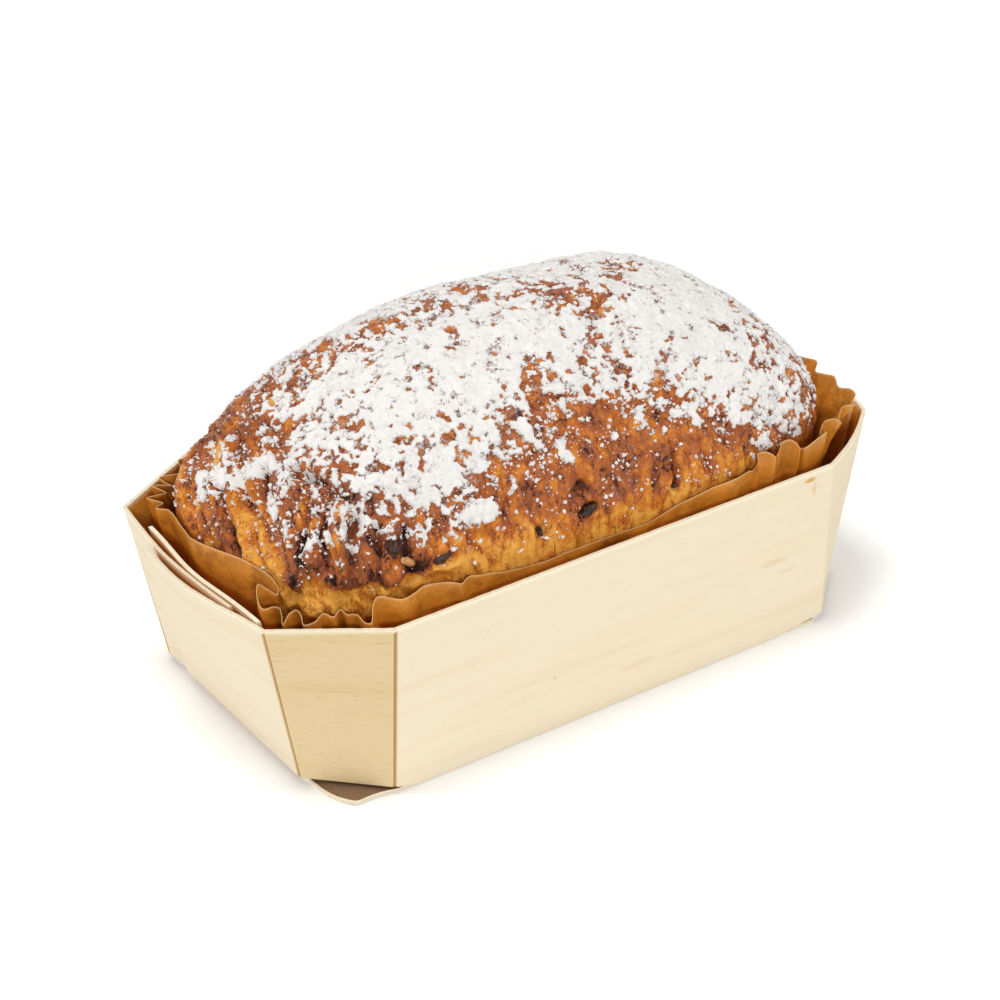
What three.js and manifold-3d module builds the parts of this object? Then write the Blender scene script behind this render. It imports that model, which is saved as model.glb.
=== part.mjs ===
// Almond bread in its baking paper, standing in the folded veneer mould it was baked in.
//
// Millimetres, +Z up. The origin is the middle of the mould's underside. +X runs along the
// loaf, and -Y is its front. Four pieces: the loaf, the pleated paper round it, and the two
// bent strips of poplar veneer that make the mould. The wrap is a base with both long walls,
// the corner facets and the ears that fold round the ends. The cradle is a narrower strip that
// lies across the wrap's base and turns up inside the ears as the two end flaps.
import * as THREE from 'three';
import { mergeVertices } from 'three/addons/utils/BufferGeometryUtils.js';
import Module from 'manifold-3d';

const wasm = await Module();
wasm.setup();

// ---- driving dimensions ----------------------------------------------------------------
const VENEER = 1.1; // thickness of the poplar veneer
const GAP = 0.3; // air between pieces that touch
const PAPER = 0.35; // thickness of the baking paper, its crinkles included

// The mould's outer outline, an eight-sided tray: at the rim and at the foot.
const RIM = { halfLength: 92.5, halfWidth: 52.65, cornerX: 25.8, cornerY: 17.5, height: 48.85 };
const FOOT = { halfLength: 84.05, halfWidth: 50.2, cornerX: 16.8, cornerY: 16.7 };
const FOOT_LIFT = 2.2; // the facets and ears stop this far above the table
const FOLD_Z = 0.15; // underside of the long walls where they turn into the base
const FOLD_FROM = -60.4; // the long walls join the base between these two X
const FOLD_TO = 50.9;
const SCORE = { width: 1.3, depth: 0.5 }; // V-grooves cut where the left facets fold

const BASE = { halfWidth: 49.9, left: -81.5, right: 81.5, cut: 17, roundX: 9, roundY: 14 };
const CRADLE = { front: -31.1, back: 22.6, columns: 10, footX: 81.2 };

// The crown is a superellipsoid over a superelliptic outline; below the rim it tapers.
const LOAF = {
  halfLength: 87.1, halfWidth: 46.9, crown: 47.1, // crown: height above the shoulder
  shoulderZ: 49, undersideZ: 3.5,
  taperX: 0.215, taperY: 0.06, // how fast the baked sides draw in towards the underside
  plan: 3.14, profile: 1.84, sole: 14, // exponents: plan outline, crown, underside edge
  centreX: 0.33, peakShift: 1.9,
};
const LOAF_GRID = { x: 38, y: 20, z: 15 };

const LINER = {
  clearance: 0.9, // from the loaf to the paper
  cornerSlack: 2.2, pleatDepth: 5.0, pleats: 36, // pleats: as many as would go all round
  soleZ: 2.8, flare: 0.02,
  midRise: -0.5, cornerRise: 5.6, // top edge over the rim, mid-side and at the corners
};

// ---- small helpers -----------------------------------------------------------------------
const point = (x, y, z) => new THREE.Vector3(x, y, z);
const mix = (a, b, t) => a + (b - a) * t;
const bump = (distance, size) => Math.exp(-((distance / size) ** 2));

function smoothstep(from, to, value) {
  const t = Math.min(Math.max((value - from) / (to - from), 0), 1);
  return t * t * (3 - 2 * t);
}

function signedPower(value, exponent) {
  return Math.sign(value) * Math.abs(value) ** exponent;
}

// A closed geometry from triangles of points: shared corners are merged, and triangles that
// have collapsed to a line are dropped.
function solidFromTriangles(triangles) {
  const geometry = new THREE.BufferGeometry();
  const numbers = triangles.flat().flatMap((corner) => corner.toArray());
  geometry.setAttribute('position', new THREE.Float32BufferAttribute(numbers, 3));
  const merged = mergeVertices(geometry, 1e-4);
  const index = merged.index.array;
  const kept = [];
  for (let i = 0; i < index.length; i += 3) {
    const [a, b, c] = [index[i], index[i + 1], index[i + 2]];
    if (a !== b && b !== c && c !== a) kept.push(a, b, c);
  }
  merged.setIndex(kept);
  return merged;
}

// A sheet with a thickness. Both faces are grids of points, grid[column][row], with the outer
// face seen from outside as columns to the right and rows upwards. A sheet that closes round
// a hollow joins its last column to its first.
function sheetSolid(outer, inner, closed = false) {
  const triangles = [];
  const quad = (a, b, c, d) => triangles.push([a, b, c], [a, c, d]);
  const columns = outer.length;
  const rows = outer[0].length;
  const spans = closed ? columns : columns - 1;
  for (let i = 0; i < spans; i += 1) {
    const next = (i + 1) % columns;
    for (let j = 0; j < rows - 1; j += 1) {
      quad(outer[i][j], outer[next][j], outer[next][j + 1], outer[i][j + 1]);
      quad(inner[i][j + 1], inner[next][j + 1], inner[next][j], inner[i][j]);
    }
    const top = rows - 1;
    quad(outer[i][top], outer[next][top], inner[next][top], inner[i][top]);
    quad(inner[i][0], inner[next][0], outer[next][0], outer[i][0]);
  }
  if (!closed) {
    const last = columns - 1;
    for (let j = 0; j < rows - 1; j += 1) {
      quad(inner[0][j], outer[0][j], outer[0][j + 1], inner[0][j + 1]);
      quad(outer[last][j], inner[last][j], inner[last][j + 1], outer[last][j + 1]);
    }
  }
  return solidFromTriangles(triangles);
}

function toManifold(geometry) {
  const mesh = new wasm.Mesh({
    numProp: 3,
    vertProperties: new Float32Array(geometry.attributes.position.array),
    triVerts: new Uint32Array(geometry.index.array),
  });
  return new wasm.Manifold(mesh);
}

function fromManifold(manifold) {
  const mesh = manifold.getMesh();
  const geometry = new THREE.BufferGeometry();
  geometry.setAttribute('position', new THREE.Float32BufferAttribute(mesh.vertProperties, 3));
  geometry.setIndex([...mesh.triVerts]);
  return geometry;
}

// Moves each point of a plan line sideways, to its left, with mitred corners.
function offsetLine(line, distance) {
  return line.map((here, i) => {
    const before = line[Math.max(i - 1, 0)];
    const after = line[Math.min(i + 1, line.length - 1)];
    const into = here.clone().sub(before).setZ(0).normalize();
    const out = after.clone().sub(here).setZ(0).normalize();
    if (into.lengthSq() === 0) into.copy(out);
    if (out.lengthSq() === 0) out.copy(into);
    const along = into.clone().add(out).normalize();
    const stretch = 1 / Math.max(along.dot(into), 0.5);
    return point(here.x - along.y * distance * stretch, here.y + along.x * distance * stretch, here.z);
  });
}

// ---- the mould's wrap: base, long walls, corner facets and ears --------------------------
// One wall is a ruled sheet between its rim line and its foot line. Both lines run from the
// cut end of the left ear, along the wall, to the cut end of the right ear.
function splinePoints(knots, count) {
  const curve = new THREE.CatmullRomCurve3(knots.map(([x, y]) => point(x, y, 0)), false, 'centripetal');
  return curve.getSpacedPoints(count);
}

function facetPoints(from, to, bulge, count) {
  const across = point(to.y - from.y, from.x - to.x, 0).normalize();
  const points = [];
  for (let i = 1; i < count; i += 1) {
    const t = i / count;
    const here = from.clone().lerp(to, t);
    points.push(here.addScaledVector(across, bulge * Math.sin(Math.PI * t)));
  }
  return points;
}

// Stands for a scored fold: the groove's two lips and its bottom.
function scoreStations(stations, at) {
  const { rim, foot } = stations[at];
  const lip = (other) => {
    const step = (line) => {
      const towards = stations[other][line].clone().sub(stations[at][line]).setLength(SCORE.width / 2);
      return stations[at][line].clone().add(towards);
    };
    return { rim: step('rim'), foot: step('foot'), groove: 0 };
  };
  return [lip(at - 1), { rim, foot, groove: SCORE.depth }, lip(at + 1)];
}

function wallSolid({ leftEar, rightEar, rimWall, leftEarFoot, rightEarFoot, bulge }) {
  const rimLeft = RIM.halfLength - RIM.cornerX;
  const footLeft = FOOT.halfLength - FOOT.cornerX;
  const earSteps = 8;
  const facetSteps = 5;
  const earRimY = -(RIM.halfWidth - RIM.cornerY);
  const earFootY = -(FOOT.halfWidth - FOOT.cornerY);
  const stations = [];
  const add = (rim, foot, groove = 0) => stations.push({
    rim: point(rim.x, rim.y, RIM.height),
    foot: point(foot.x, foot.y, foot.z || FOOT_LIFT),
    groove,
  });

  const leftRim = splinePoints(leftEar, earSteps);
  const leftFoot = splinePoints(leftEarFoot, earSteps);
  leftRim.slice(0, -1).forEach((rim, i) => add(rim, leftFoot[i]));
  const foldA = { rim: point(-RIM.halfLength, earRimY, 0), foot: point(-FOOT.halfLength, earFootY, 0) };
  const foldB = { rim: point(-rimLeft, rimWall(-rimLeft), 0), foot: point(-footLeft, -FOOT.halfWidth, 0) };
  const foldC = { rim: point(rimLeft, rimWall(rimLeft), 0), foot: point(footLeft, -FOOT.halfWidth, 0) };
  const foldD = { rim: point(RIM.halfLength, earRimY, 0), foot: point(FOOT.halfLength, earFootY, 0) };
  const folds = [];

  folds.push(stations.length);
  add(foldA.rim, foldA.foot);
  const leftFacet = facetPoints(foldA.rim, foldB.rim, bulge.left, facetSteps);
  const leftFacetFoot = facetPoints(foldA.foot, foldB.foot, 0, facetSteps);
  leftFacet.forEach((rim, i) => add(rim, leftFacetFoot[i]));
  folds.push(stations.length);
  add(foldB.rim, foldB.foot);

  for (const x of [FOLD_FROM, -30, 0, 25, FOLD_TO]) {
    add(point(x, rimWall(x), 0), point(x, -FOOT.halfWidth, FOLD_Z));
  }

  add(foldC.rim, foldC.foot);
  const rightFacet = facetPoints(foldC.rim, foldD.rim, bulge.right, facetSteps);
  const rightFacetFoot = facetPoints(foldC.foot, foldD.foot, 0, facetSteps);
  rightFacet.forEach((rim, i) => add(rim, rightFacetFoot[i]));
  add(foldD.rim, foldD.foot);
  const rightRim = splinePoints(rightEar, earSteps);
  const rightFoot = splinePoints(rightEarFoot, earSteps);
  rightRim.slice(1).forEach((rim, i) => add(rim, rightFoot[i + 1]));

  const scored = stations.flatMap((station, i) => (folds.includes(i) ? scoreStations(stations, i) : [station]));
  const rimLine = scored.map((station) => station.rim);
  const footLine = scored.map((station) => station.foot);
  const innerRim = offsetLine(rimLine, VENEER);
  const innerFoot = offsetLine(footLine, VENEER);
  const outer = [];
  const inner = [];
  scored.forEach((station, i) => {
    const depth = station.groove / VENEER;
    outer.push([
      station.foot.clone().lerp(innerFoot[i], depth),
      station.rim.clone().lerp(innerRim[i], depth),
    ]);
    inner.push([innerFoot[i], innerRim[i]]);
  });
  return sheetSolid(outer, inner);
}

// The front wall's ears lie outermost. The left one bows away from the layers inside it.
const frontWall = wallSolid({
  leftEar: [[-97.2, 14], [-98.0, 5], [-98.1, -5], [-96.3, -17.3], [-93.6, -28.8], [-92.5, -35.15]],
  leftEarFoot: [[-84.05, 23.1], [-84.05, 0], [-84.05, -33.5]],
  rightEar: [[92.5, -35.15], [94.3, -29.8], [95.3, -20], [95.9, -5], [95.9, 5], [95.4, 14]],
  rightEarFoot: [[84.05, -33.5], [84.05, 0], [84.05, 23.1]],
  rimWall: () => -RIM.halfWidth,
  bulge: { left: 0, right: 1.3 },
});

// The back wall is the same sheet turned over. Its ears tuck inside the front wall's, and its
// rim is pressed in near the left corner.
const backWallFront = wallSolid({
  leftEar: [[-93.8, 21.3], [-94.8, 9], [-95.3, -8], [-94.1, -22.5], [-92.5, -35.15]],
  leftEarFoot: [[-82.65, 21.3], [-82.65, -8], [-82.65, -22], [-84.05, -33.5]],
  rightEar: [[92.5, -35.15], [93.3, -22.5], [94.1, -8], [94.0, 9], [93.5, 21.3]],
  rightEarFoot: [[84.05, -33.5], [82.65, -22], [82.65, -8], [82.65, 21.3]],
  rimWall: (x) => -RIM.halfWidth + 3.1 * bump(x + 75, 22),
  bulge: { left: 0, right: 0.8 },
});

// Mirrors a closed geometry front to back, and turns its triangles so that they face out.
function mirrored(geometry) {
  const copy = geometry.clone();
  copy.scale(1, -1, 1);
  const index = copy.index.array;
  for (let i = 0; i < index.length; i += 3) [index[i + 1], index[i + 2]] = [index[i + 2], index[i + 1]];
  return copy;
}

// The base reaches past the facet at the front left, where its rounded corner sticks out, and
// is cut back to the facets at the other three corners.
function baseSolid() {
  const { halfWidth, left, right, cut, roundX, roundY } = BASE;
  const outline = new THREE.Shape();
  outline.moveTo(left + roundX, -halfWidth);
  outline.lineTo(right - cut, -halfWidth);
  outline.lineTo(right, -halfWidth + cut);
  outline.lineTo(right, halfWidth - cut);
  outline.lineTo(right - cut, halfWidth);
  outline.lineTo(left + cut, halfWidth);
  outline.lineTo(left, halfWidth - cut);
  outline.lineTo(left, -halfWidth + roundY);
  outline.absellipse(left + roundX, -halfWidth + roundY, roundX, roundY, Math.PI, Math.PI * 1.5, false, 0);
  const slab = new THREE.ExtrudeGeometry(outline, { depth: VENEER, bevelEnabled: false, curveSegments: 6 });
  slab.deleteAttribute('normal');
  slab.deleteAttribute('uv');
  return mergeVertices(slab, 1e-4);
}

function wrapGeometry() {
  const walls = toManifold(frontWall).add(toManifold(mirrored(backWallFront)));
  return fromManifold(walls.add(toManifold(baseSolid())));
}

// ---- the mould's cradle: a strip across the base, turned up as the end flaps --------------
// Rim line of a flap's outer face: it stands straight, and swells where the loaf pushed it.
function flapRimX(side, y) {
  const swell = side < 0 ? 2.0 : 0.8;
  return 91.6 + swell * bump(y + 2, 16);
}

function cradleGeometry() {
  const low = VENEER + GAP;
  const outer = [];
  const inner = [];
  for (let i = 0; i <= CRADLE.columns; i += 1) {
    const y = mix(CRADLE.front, CRADLE.back, i / CRADLE.columns);
    const leftRim = flapRimX(-1, y);
    const rightRim = flapRimX(1, y);
    const foot = CRADLE.footX;
    outer.push([
      point(-leftRim, y, RIM.height),
      point(-mix(foot, leftRim, 0.5), y, mix(low, RIM.height, 0.5)),
      point(-foot, y, low + VENEER),
      point(-foot + VENEER, y, low),
      point(foot - VENEER, y, low),
      point(foot, y, low + VENEER),
      point(mix(foot, rightRim, 0.5), y, mix(low, RIM.height, 0.5)),
      point(rightRim, y, RIM.height),
    ]);
    const innerFoot = foot - VENEER;
    inner.push([
      point(-leftRim + VENEER, y, RIM.height),
      point(-mix(innerFoot, leftRim - VENEER, 0.5), y, mix(low, RIM.height, 0.5)),
      point(-innerFoot, y, low + VENEER * 1.4),
      point(-innerFoot + VENEER, y, low + VENEER),
      point(innerFoot - VENEER, y, low + VENEER),
      point(innerFoot, y, low + VENEER * 1.4),
      point(mix(innerFoot, rightRim - VENEER, 0.5), y, mix(low, RIM.height, 0.5)),
      point(rightRim - VENEER, y, RIM.height),
    ]);
  }
  return sheetSolid(outer, inner);
}

// ---- the loaf -----------------------------------------------------------------------------
// Half-length and half-width of the loaf's sides at a height.
function loafHalfSizes(z) {
  const depth = Math.max(LOAF.shoulderZ - z, 0);
  return [LOAF.halfLength - LOAF.taperX * depth, LOAF.halfWidth - LOAF.taperY * depth];
}

// 1 on the loaf's smooth surface, less inside it, more outside.
function loafLevel(p) {
  const above = p.z >= LOAF.shoulderZ;
  const height = above
    ? (p.z - LOAF.shoulderZ) / LOAF.crown
    : (LOAF.shoulderZ - p.z) / (LOAF.shoulderZ - LOAF.undersideZ);
  const [a, b] = loafHalfSizes(p.z);
  const x = p.x - LOAF.centreX - (above ? LOAF.peakShift * Math.min(height, 1.2) ** 2 : 0);
  const plan = (Math.abs(x / a) ** LOAF.plan + Math.abs(p.y / b) ** LOAF.plan) ** (1 / LOAF.plan);
  const exponent = above ? LOAF.profile : LOAF.sole;
  return (plan ** exponent + height ** exponent) ** (1 / exponent);
}

// Swellings and hollows that break the smooth crown. at: place on the crust; size: how far it
// reaches; rise: outwards, or inwards if negative.
const RELIEF = [
  // the recess under the lip at the front left corner, and the lip's lobes over it
  { at: [-79, -30, 48], size: 8.5, rise: -4.6 },
  { at: [-69, -37, 48], size: 9, rise: -5.4 },
  { at: [-57, -42, 49], size: 8, rise: -3.4 },
  { at: [-76.9, -27.4, 60.5], size: 5, rise: 1.8 },
  { at: [-70.2, -36.3, 57.5], size: 6, rise: 2.6 },
  { at: [-62, -39.5, 57.5], size: 5.5, rise: 2.0 },
  { at: [-53, -42, 59.5], size: 6, rise: 2.4 },
  { at: [-79.7, -27.9, 57], size: 4, rise: 1.6 },
  // the hollow, pale patch on the left end, and the paper's dent below it
  { at: [-82.3, -12, 60], size: 8, rise: -2.4 },
  { at: [-83, -22, 53], size: 9, rise: -2.6 },
  // folds of dough down the left end
  { at: [-81, 6, 63], size: 8, rise: 1.6 },
  { at: [-83, 20, 57], size: 7, rise: 1.4 },
  { at: [-72, -17, 71], size: 8, rise: 1.4 },
  { at: [-62, -30, 71], size: 9, rise: 1.3 },
  // the uneven top
  { at: [-12, 20, 91], size: 15, rise: 1.4 },
  { at: [22, 8, 94], size: 17, rise: -1.2 },
  { at: [54, 14, 84], size: 17, rise: 1.2 },
  { at: [74, -26, 68], size: 10, rise: -0.8 },
  // the sprung side along the front
  { at: [-25, -46, 58], size: 14, rise: 0.9 },
  { at: [5, -46, 57], size: 12, rise: 1.0 },
  { at: [35, -45, 58], size: 13, rise: 0.8 },
];

function loafRelief(p) {
  const rises = RELIEF.map(({ at, size, rise }) => rise * bump(p.distanceTo(point(...at)), size));
  const rolling = 0.35 * Math.sin(p.x / 6.1 + p.y / 9) * Math.cos(p.y / 7.3 + p.z / 8);
  const total = rises.reduce((sum, rise) => sum + rise, rolling);
  // Inside the paper the loaf keeps its baked sides: nothing swells there.
  return total > 0 ? total * smoothstep(50, 58, p.z) : total * smoothstep(20, 44, p.z);
}

function loafGeometry() {
  const top = LOAF.shoulderZ + LOAF.crown;
  const middle = point(LOAF.centreX, 0, LOAF.shoulderZ);
  const box = new THREE.BoxGeometry(
    2 * LOAF.halfLength, 2 * LOAF.halfWidth, top - LOAF.undersideZ,
    LOAF_GRID.x, LOAF_GRID.y, LOAF_GRID.z,
  );
  box.translate(LOAF.centreX, 0, (top + LOAF.undersideZ) / 2);
  box.deleteAttribute('normal');
  box.deleteAttribute('uv');
  const geometry = mergeVertices(box, 1e-4);
  const position = geometry.attributes.position;
  const outwards = new THREE.Vector3();
  const here = new THREE.Vector3();
  for (let i = 0; i < position.count; i += 1) {
    const ray = point(position.getX(i), position.getY(i), position.getZ(i)).sub(middle);
    let inside = 0;
    let outside = 1.6;
    for (let halving = 0; halving < 24; halving += 1) {
      const t = (inside + outside) / 2;
      if (loafLevel(here.copy(middle).addScaledVector(ray, t)) < 1) inside = t;
      else outside = t;
    }
    here.copy(middle).addScaledVector(ray, inside);
    const nudge = 0.2;
    outwards.set(
      loafLevel(point(here.x + nudge, here.y, here.z)) - loafLevel(point(here.x - nudge, here.y, here.z)),
      loafLevel(point(here.x, here.y + nudge, here.z)) - loafLevel(point(here.x, here.y - nudge, here.z)),
      loafLevel(point(here.x, here.y, here.z + nudge)) - loafLevel(point(here.x, here.y, here.z - nudge)),
    ).normalize();
    here.addScaledVector(outwards, loafRelief(here));
    position.setXYZ(i, here.x, here.y, here.z);
  }
  return geometry;
}

// ---- the paper liner ------------------------------------------------------------------------
// Follows the loaf's sides, and goes into pleats where its corners are gathered.
const cornerShare = (angle) => smoothstep(0.45, 0.85, Math.abs(Math.sin(2 * angle)));

function pleat(angle) {
  const phase = (angle * LINER.pleats) / (2 * Math.PI) + 0.18 * Math.sin(5 * angle);
  const saw = Math.abs(2 * (phase - Math.floor(phase)) - 1);
  return saw * (0.8 + 0.2 * Math.sin(3 * angle + 1));
}

function linerPoint(angle, z, thickness) {
  const [loafA, loafB] = loafHalfSizes(z);
  const flare = Math.max(z - LOAF.shoulderZ, 0) * LINER.flare;
  const a = loafA + LINER.clearance + thickness + flare;
  const b = loafB + LINER.clearance + thickness + flare;
  const x = a * signedPower(Math.cos(angle), 2 / LOAF.plan);
  const y = b * signedPower(Math.sin(angle), 2 / LOAF.plan);
  const steep = LOAF.plan - 1;
  const normal = point(signedPower(x / a, steep) / a, signedPower(y / b, steep) / b, 0).normalize();
  const corner = cornerShare(angle);
  const folded = corner * (LINER.cornerSlack + LINER.pleatDepth * pleat(angle));
  // The left end panel leans in towards the front, where the loaf is hollow.
  const lean = 2.4 * bump(y + 26, 9) * smoothstep(20, 48, z) * smoothstep(-60, -78, x);
  return point(x, y, 0).addScaledVector(normal, folded - lean).add(point(LOAF.centreX, 0, z));
}

function linerTopZ(angle) {
  const wave = 0.9 * Math.sin(11 * angle) + 0.6 * Math.sin(23 * angle + 1);
  const alongSide = Math.abs(signedPower(Math.cos(angle), 2 / LOAF.plan));
  const rise = mix(LINER.midRise, LINER.cornerRise, smoothstep(0.15, 0.62, alongSide));
  return RIM.height + rise + wave * (0.35 + 0.65 * cornerShare(angle));
}

function linerGeometry() {
  const columns = LINER.pleats * 4;
  const outer = [];
  const inner = [];
  const low = LINER.soleZ;
  for (let i = 0; i < columns; i += 1) {
    const angle = (i / columns) * 2 * Math.PI;
    const topZ = linerTopZ(angle);
    const wallZ = [low + 3, mix(low, RIM.height, 0.55), RIM.height - 1.5, topZ];
    const column = (thickness, floorZ) => {
      const edge = linerPoint(angle, low + 3, thickness);
      const centre = point(LOAF.centreX, 0, floorZ);
      const rings = [0, 0.5, 0.955].map((share) => point(
        mix(centre.x, edge.x, share), mix(centre.y, edge.y, share), floorZ));
      return [...rings, ...wallZ.map((z) => linerPoint(angle, z, thickness))];
    };
    outer.push(column(PAPER, low));
    inner.push(column(0, low + PAPER));
  }
  return sheetSolid(outer, inner, true);
}

// ---- assembly -------------------------------------------------------------------------------
function piece(name, geometry, color, roughness) {
  geometry.computeVertexNormals();
  const mesh = new THREE.Mesh(geometry, new THREE.MeshStandardMaterial({ color, roughness, metalness: 0 }));
  mesh.name = name;
  return mesh;
}

const group = new THREE.Group();
group.add(piece('loaf', loafGeometry(), 0x96562a, 0.5));
group.add(piece('paper_liner', linerGeometry(), 0xba8a50, 0.55));
group.add(piece('mould_cradle', cradleGeometry(), 0xe8c88e, 0.7));
group.add(piece('mould_wrap', wrapGeometry(), 0xf0e2be, 0.7));

export default group;
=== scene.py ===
"""Almond bread in its pleated paper liner and folded veneer mould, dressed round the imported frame.

Shapes are worked out in millimetres, in the frame's axes: +X along the loaf, -Y its front, +Z up,
with the origin in the middle of the mould's underside. They become metres when a mesh is made.
"""

import math

import bpy
import numpy as np
from bpy.props import FloatProperty, FloatVectorProperty, IntProperty, PointerProperty
from mathutils import Matrix, Vector


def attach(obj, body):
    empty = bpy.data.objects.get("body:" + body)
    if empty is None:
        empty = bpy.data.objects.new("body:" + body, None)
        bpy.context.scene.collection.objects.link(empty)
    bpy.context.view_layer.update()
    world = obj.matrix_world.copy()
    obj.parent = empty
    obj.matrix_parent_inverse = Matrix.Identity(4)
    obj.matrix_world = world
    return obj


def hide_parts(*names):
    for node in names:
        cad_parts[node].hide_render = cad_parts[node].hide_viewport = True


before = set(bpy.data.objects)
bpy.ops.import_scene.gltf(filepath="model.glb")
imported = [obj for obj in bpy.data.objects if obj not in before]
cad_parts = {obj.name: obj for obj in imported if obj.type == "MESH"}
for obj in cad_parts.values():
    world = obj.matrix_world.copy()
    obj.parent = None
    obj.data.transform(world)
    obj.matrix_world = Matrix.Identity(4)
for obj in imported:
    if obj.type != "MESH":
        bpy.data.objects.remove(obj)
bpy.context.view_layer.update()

bl_info = {
    "name": "Almond bread",
    "version": (1, 0, 0),
    "blender": (4, 5, 0),
    "location": "3D View > Sidebar > Almond bread",
    "description": "Builds an almond bread with its paper liner, veneer mould and studio",
    "category": "Add Mesh",
}

MM = 0.001
ROOT = "root"

# ---- sizes in millimetres, and how finely the shapes are divided ---------------------------------
VENEER = 1.1
EAR_COLUMNS, FACET_COLUMNS, WALL_COLUMNS = 46, 60, 150
GAP = 0.3
RIM_HALF_LENGTH, RIM_HALF_WIDTH, RIM_CORNER_X, RIM_CORNER_Y = 92.5, 52.65, 25.8, 17.5
RIM_HEIGHT = 48.85
FOOT_HALF_LENGTH, FOOT_HALF_WIDTH, FOOT_CORNER_X, FOOT_CORNER_Y = 84.05, 50.2, 16.8, 16.7
FOOT_LIFT = 2.2
FOLD_Z = 0.15
FOLD_FROM, FOLD_TO = -60.4, 50.9
BASE_HALF_WIDTH, BASE_LEFT, BASE_RIGHT = 49.9, -81.5, 81.5
BASE_CUT = 17.0
CRADLE_FRONT, CRADLE_BACK, CRADLE_FOOT_X = -31.1, 22.6, 81.2
CRADLE_COLUMNS = 70

LOAF_HALF_LENGTH, LOAF_HALF_WIDTH, LOAF_CROWN = 87.1, 46.9, 47.1
SHOULDER_Z, UNDERSIDE_Z = 49.0, 3.5
TAPER_X, TAPER_Y = 0.215, 0.06
FINE_MESH_X, FINE_MESH_Y = -40, 8
SQUEEZE_Z, SQUEEZE = 94, 0.45
FARTHEST_RAY, HALVINGS, NUDGE = 1.6, 24, 0.2
PLAN_POWER, CROWN_POWER, SOLE_POWER = 3.14, 1.84, 14.0
LOAF_CENTRE_X, PEAK_SHIFT = 0.33, 1.9

LINER_CLEARANCE, LINER_SLACK, PLEAT_DEPTH, PLEATS_ROUND = 0.9, 2.2, 5.0, 36
LINER_SOLE_Z, LINER_FLARE = 2.8, 0.02


# ---- settings shown in the sidebar ---------------------------------------------------------------
def linear(hex_code):
    """The linear colour of an sRGB hex code such as "c8a070"."""
    parts = [int(hex_code[i:i + 2], 16) / 255 for i in (0, 2, 4)]
    return tuple(c / 12.92 if c <= 0.04045 else ((c + 0.055) / 1.055) ** 2.4 for c in parts)


def colour_setting(name, description, hex_code):
    return FloatVectorProperty(name=name, description=description, subtype="COLOR", size=3,
                               min=0.0, max=1.0, default=linear(hex_code))


def length_setting(name, description, millimetres):
    return FloatProperty(name=name, description=description, default=millimetres * MM, unit="LENGTH")


def angle_setting(name, description, degrees):
    return FloatProperty(name=name, description=description, default=math.radians(degrees), subtype="ANGLE")


class CrustSettings(bpy.types.PropertyGroup):
    spacing: length_setting("Mesh spacing", "Distance between the crust's vertices", 0.56)
    wrinkle: length_setting("Wrinkle depth", "Depth of the fine wrinkles", 0.5)
    golden: colour_setting("Golden crust", "Colour of the lightly baked sides", "f08d24")
    brown: colour_setting("Brown crust", "Colour of the baked crown", "b3623a")
    dark: colour_setting("Dark crust", "Colour of the ridges that baked hardest", "42190b")


class SugarSettings(bpy.types.PropertyGroup):
    spacing: length_setting("Mesh spacing", "Distance between the sugar's vertices", 0.38)
    depth: length_setting("Depth", "Depth of the sugar where it lies thick", 0.42)
    grains: IntProperty(name="Loose clumps", description="Small clumps scattered round the sugar",
                        default=6500, min=0)
    grain_size: length_setting("Clump size", "Radius of a middling loose clump", 0.14)
    white: colour_setting("Sugar", "Colour of the powdered sugar", "eeebe7")


class PaperSettings(bpy.types.PropertyGroup):
    thickness: length_setting("Thickness", "Thickness of the baking paper", 0.16)
    brown: colour_setting("Paper", "Colour of the baking paper", "dc8f30")
    # also the colour of the painted shade in the pleats' valleys
    stain_and_shade: colour_setting("Stain", "Colour of the paper where it took up fat", "98590f")


class MouldSettings(bpy.types.PropertyGroup):
    score_width: length_setting("Score width", "Width of the grooves at the folds", 0.75)
    score_depth: length_setting("Score depth", "Depth of the grooves at the folds", 0.35)
    pale: colour_setting("Veneer", "Colour of the poplar veneer", "ecdec2")
    grain: colour_setting("Grain", "Colour of the veneer's grain and knots", "d6b87a")
    baked: colour_setting("Baked side", "Colour of the side that faced the loaf", "eca43c")


class StageSettings(bpy.types.PropertyGroup):
    azimuth: angle_setting("Azimuth", "Camera's turn from the front view", -33.796)
    elevation: angle_setting("Elevation", "Camera's height angle", 30.553)
    roll: angle_setting("Roll", "Camera's roll", -0.922)
    distance: length_setting("Distance", "From the camera to its target", 722.6)
    target: FloatVectorProperty(name="Target", description="Point at the middle of the picture",
                                default=(-0.00102, 0.00068, 0.03595), subtype="TRANSLATION")
    lens: FloatProperty(name="Focal length", description="For a 36 mm wide sensor",
                        default=99.6, unit="CAMERA")


# ---- numbers: smoothing, noise and curves --------------------------------------------------------
def smoothstep(low, high, value):
    t = np.clip((value - low) / (high - low), 0, 1)
    return t * t * (3 - 2 * t)


def mix(a, b, t):
    return a + (b - a) * t


def bump(distance, size):
    return np.exp(-((distance / size) ** 2))


def near(points, place, reach):
    """1 at a place, falling to 0 round it."""
    return bump(np.linalg.norm(points - place, axis=1), reach)


def spots(points, table):
    """The sum of a table's soft spots, each given by its place, its reach and its height."""
    return sum(height * near(points, place, reach) for place, reach, height in table)


def signed_power(value, power):
    return np.sign(value) * np.abs(value) ** power


NOISE_SEED = 20
NOISE_TABLE = 256
NOISE_SHIFT = 7.31
NOISE_GAIN = 1.6
FURROW_SLOPE, FURROW_POWER = 2.2, 0.6
FURROW_MEAN = 0.75


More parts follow.
